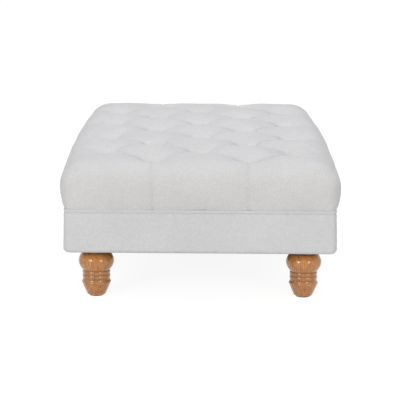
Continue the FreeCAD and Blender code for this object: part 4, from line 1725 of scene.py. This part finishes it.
@dataclass(frozen=True)
class AreaLight:
    """A square lamp that faces a point."""

    name: str
    place: Place
    aim: Place
    size: float
    power: float
    colour: Colour = (1.0, 1.0, 1.0)

    def hang(self) -> None:
        """Put the lamp in the scene."""
        lamp = bpy.data.lights.new(self.name, "AREA")
        lamp.shape = "SQUARE"
        lamp.size = self.size
        lamp.energy = self.power
        lamp.color = self.colour
        holder = bpy.data.objects.new(self.name, lamp)
        bpy.context.scene.collection.objects.link(holder)
        holder.location = self.place
        direction = Vector(self.aim) - Vector(self.place)
        holder.rotation_euler = direction.to_track_quat("-Z", "Y").to_euler()


@dataclass
class Studio:
    """A white floor and surround, soft lamps and the camera."""

    camera_place: Place = (-0.0070, -4.374, 1.0386)
    pitch: float = 11.455
    roll: float = -0.42
    lens: float = 135.7
    ambient: float = 0.40
    floor_glow: float = 0.70
    glow_strength: float = 1.29
    floor_reach: float = 30.0
    floor_colour: Colour = (0.85, 0.85, 0.85)
    floor_roughness: float = 0.9
    lamps: Sequence[AreaLight] = (
        AreaLight("overhead", (0.0, 0.2, 3.2), (0.0, 0.0, 0.3), 2.2, 42.0, (0.885, 0.91, 1.0)),
        AreaLight("front_left", (-4.7, -6.9, 2.9), (0.0, -0.5, 0.2), 2.3, 182.0, (1.0, 0.965, 0.93)),
        AreaLight("front_right", (4.4, -7.3, 2.9), (0.0, -0.5, 0.2), 2.3, 142.0, (1.0, 0.965, 0.93)),
    )

    @staticmethod
    def seen_directly(bench: NodeBench) -> Socket:
        """One for rays that show the surroundings: from the camera, off gloss or through glass.

        Args:
            bench: Bench on the tree to add the test to.

        Returns:
            The output that carries one or nought.
        """
        path = bench.add("LightPath").outputs
        shown = bench.maths("MAXIMUM", path["Is Camera Ray"], path["Is Glossy Ray"])
        return bench.maths("MAXIMUM", shown, path["Is Transmission Ray"])

    def build(self) -> None:
        """Make the surroundings."""
        self.lay_floor()
        self.light()
        self.set_camera()

    def lay_floor(self) -> None:
        """A white floor that glows a little to the camera, and still takes the shadow."""
        signs = ((-1.0, -1.0, 0.0), (1.0, -1.0, 0.0), (1.0, 1.0, 0.0), (-1.0, 1.0, 0.0))
        corners = self.floor_reach * np.array(signs)
        mesh = make_mesh("floor", corners, (np.array(((0, 1, 2, 3),)),))
        material, bench, shader = new_material("floor_white")
        shader.inputs["Base Color"].default_value = (*self.floor_colour, 1.0)
        shader.inputs["Roughness"].default_value = self.floor_roughness
        glow = bench.add("Emission", {"Color": (1.0, 1.0, 1.0), "Strength": self.glow_strength})
        share = bench.maths("MULTIPLY", self.seen_directly(bench), self.floor_glow)
        mixed = bench.add("MixShader", {0: share, 1: shader.outputs[0], 2: glow.outputs[0]})
        outlet = material.node_tree.nodes["Material Output"]
        bench.tree.links.new(mixed.outputs[0], outlet.inputs["Surface"])
        mesh.materials.append(material)
        floor = bpy.data.objects.new("floor", mesh)
        bpy.context.scene.collection.objects.link(floor)

    def light(self) -> None:
        """A white surround that shows as pure white and lights less than it shows, and the lamps."""
        world = bpy.data.worlds.new("surround")
        bpy.context.scene.world = world
        world.use_nodes = True
        bench = NodeBench(world.node_tree)
        strength = bench.remap(self.seen_directly(bench), 0.0, 1.0, self.ambient, 1.0)
        backdrop = world.node_tree.nodes["Background"]
        backdrop.inputs["Color"].default_value = (1.0, 1.0, 1.0, 1.0)
        bench.tree.links.new(strength, backdrop.inputs["Strength"])
        for lamp in self.lamps:
            lamp.hang()

    def set_camera(self) -> None:
        """The photograph's view: a long lens, a little above the top, looking down the length."""
        camera = bpy.data.cameras.new("camera")
        camera.sensor_width = 36.0
        camera.lens = self.lens
        holder = bpy.data.objects.new("camera", camera)
        bpy.context.scene.collection.objects.link(holder)
        holder.location = self.camera_place
        holder.rotation_euler = (math.radians(90.0 - self.pitch), math.radians(self.roll), 0.0)
        bpy.context.scene.camera = holder
        bpy.context.scene.view_settings.view_transform = "Standard"


class Footstool:
    """The whole stool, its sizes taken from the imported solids.

    BULB_RADIUS is the widest radius of a leg's solid, and LEG_HOLE half of the hole that the cloth
    under the base leaves for it. FLAP_WIDTH is the cloth turned in under the deck, and CORD_SETBACK
    how far the cord lies inside the outline of its solid.
    """

    BULB_RADIUS = 0.0475
    LEG_HOLE = 0.0363
    FLAP_WIDTH = 0.027
    CORD_SETBACK = 0.0016
    # Painted light: the band's, buttons' and piping's cloth is the top's cloth toned a little cooler,
    # standing in for the neutral light bounced from the floor.
    CLOTH = BoucleFinish("boucle_cloth", light=(0.745, 0.750, 0.760), shade=(0.690, 0.694, 0.700))
    # The top's cloth takes painted shade in its folds and funnels from the mask.
    TOP_CLOTH = BoucleFinish("boucle_cloth_top", painted_shade_mask="fold")
    LEG_WOOD = WoodFinish(
        "honey_wood",
        light=(0.68, 0.310, 0.087),
        dark=(0.29, 0.092, 0.017),
        ring_width=0.0042,
        pores=0.35,
        polish=0.28,
        coat=0.9,
        gloss=0.15,
        relief=0.00015,
        billet="billet",
        # The groove mask gives stain with painted shade in the grooves.
        groove_mask="groove",
    )
    PINE_WIDE = WoodFinish("pine_across", (0.68, 0.48, 0.27), (0.52, 0.32, 0.15), 0.006, 0.1, 0.55)
    PINE_LONG = replace(PINE_WIDE, name="pine_along", run=Run.ALONG_LENGTH)
    BLOCK_WOOD = WoodFinish(
        "pine_upright", (0.66, 0.46, 0.26), (0.5, 0.3, 0.14), 0.005, 0.1, 0.6, run=Run.UPRIGHT
    )
    DECK_PLY = WoodFinish(
        "birch_ply", (0.62, 0.46, 0.29), (0.48, 0.32, 0.18), 0.011, 0.15, 0.55, run=Run.ALONG_LENGTH
    )
    FOAM = SpeckledFinish("cut_foam", (0.82, 0.76, 0.56), (0.7, 0.62, 0.42), 0.0016, 0.8, 0.0006)
    WADDING = SpeckledFinish("wadding_fibre", (0.88, 0.88, 0.86), (0.76, 0.76, 0.75), 0.006, 0.85, 0.002)
    DUST_CLOTH = SpeckledFinish(
        "pressed_cloth", (0.035, 0.035, 0.037), (0.015, 0.015, 0.016), 0.0015, 0.75, 0.0003
    )
    NYLON = SpeckledFinish("glide_nylon", (0.11, 0.105, 0.1), (0.07, 0.07, 0.07), 0.0008, 0.45, 0.0001)
    TOGGLE = SpeckledFinish("toggle_plastic", (0.8, 0.79, 0.75), (0.7, 0.69, 0.65), 0.001, 0.4, 0.0001)
    TWINE = SpeckledFinish(
        "waxed_twine", (0.66, 0.58, 0.43), (0.45, 0.38, 0.27), 0.0009, 0.6, 0.0003, squash=(1.0, 1.0, 0.4)
    )
    STEEL = SpeckledFinish("zinc_steel", (0.66, 0.65, 0.62), (0.5, 0.49, 0.46), 0.003, 0.28, 0.00005, 1.0)

    def __init__(self) -> None:
        """Read the sizes from the solids."""
        self.boxes = {name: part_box(name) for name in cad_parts}
        radius = CoveredButtons.radius
        buttons = self.high("tuft_buttons")
        self.tufts = TuftField((buttons.x - radius) / 2.0, (buttons.y - radius) / 4.0)
        self.seat = self.low("tuft_buttons").z

    def low(self, node: str) -> Vector:
        """Lowest corner of a solid."""
        return self.boxes[node][0]

    def high(self, node: str) -> Vector:
        """Highest corner of a solid."""
        return self.boxes[node][1]

    def build(self) -> None:
        """Make every piece, from the top down."""
        self.upholster_top()
        self.upholster_base()
        self.turn_legs()
        self.finish_inside()

    def upholster_top(self) -> None:
        """The buttoned cover, its buttons and the foam under it."""
        cover, deck, foam = self.high("top_cover"), self.low("deck_board"), self.high("foam_block")
        form = TopForm(cover.x, cover.y, self.low("top_cover").z, cover.z)
        mouth = (foam.x - self.FLAP_WIDTH, foam.y - self.FLAP_WIDTH)
        pocket = (foam.x, foam.y)
        ButtonedTop(form, self.tufts, self.seat, self.TOP_CLOTH, mouth, pocket, deck.z, foam.z).build()
        CoveredButtons(self.tufts, self.seat, self.CLOTH).build()
        FoamBlock(foam.x, foam.y, self.low("foam_block").z, foam.z, self.FOAM).build()

    def upholster_base(self) -> None:
        """The padded band round the frame, the piping on it and the cloth under it."""
        band = self.high("band_cover")
        SoftBand(
            name="base_band",
            node="band_cover",
            slot="boucle_band",
            finish=self.CLOTH,
            half_x=band.x,
            half_y=band.y,
            low=self.low("band_cover").z,
            high=band.z,
            corner=0.018,
            rounding=0.012,
            thickness=0.0025,
            flap=band.x - self.high("end_rail_front").x,
            fill=0.7,
        ).build()
        wadding = self.high("band_wadding")
        SoftBand(
            name="base_wadding",
            node="band_wadding",
            slot="wadding",
            finish=self.WADDING,
            half_x=wadding.x,
            half_y=wadding.y,
            low=self.low("band_wadding").z,
            high=wadding.z,
            corner=0.0155,
            rounding=0.0095,
            thickness=0.005,
            flap=0.006,
            fill=0.4,
            relief=0.0,
            spacing=0.02,
        ).build()
        cord = self.high("piping")
        inset = Piping.radius + self.CORD_SETBACK
        Piping(cord.x - inset, cord.y - inset, cord.z - inset, self.CLOTH).build()
        cloth, leg = self.high("bottom_cloth"), self.high("turned_legs")
        clearance = self.BULB_RADIUS + self.LEG_HOLE
        notch_x, notch_y = leg.x - clearance, leg.y - clearance
        BottomCloth(cloth.x, cloth.y, cloth.z, notch_x, notch_y, self.DUST_CLOTH).build()

    def turn_legs(self) -> None:
        """The four legs."""
        low, high = self.boxes["turned_legs"]
        leg_x, leg_y = high.x - self.BULB_RADIUS, high.y - self.BULB_RADIUS
        places = []
        for end, y_sign in (("front", -1.0), ("back", 1.0)):
            for hand, x_sign in (("left", -1.0), ("right", 1.0)):
                places.append((end + "_" + hand, x_sign * leg_x, y_sign * leg_y))
        TurnedLegs(places, low.z, high.z, self.LEG_WOOD).build()

    def finish_inside(self) -> None:
        """Finishes of the frame, the deck and the small parts."""
        dressing: dict[str, WoodFinish | SpeckledFinish] = {
            "end_rail_front": self.PINE_WIDE,
            "end_rail_back": self.PINE_WIDE,
            "cross_rail_front": self.PINE_WIDE,
            "cross_rail_back": self.PINE_WIDE,
            "side_rail_left": self.PINE_LONG,
            "side_rail_right": self.PINE_LONG,
            "deck_board": self.DECK_PLY,
            "button_twines": self.TWINE,
            "twine_toggles": self.TOGGLE,
            "hanger_bolts": self.STEEL,
            "foot_glides": self.NYLON,
        }
        for end in ("front", "back"):
            for hand in ("left", "right"):
                dressing["corner_block_%s_%s" % (end, hand)] = self.BLOCK_WOOD
        InnerParts(dressing).dress()


def main() -> None:
    """Build the stool and its surroundings."""
    logging.basicConfig(level=logging.INFO, format="%(message)s")
    Footstool().build()
    Studio().build()


if __name__ == "__main__":
    main()
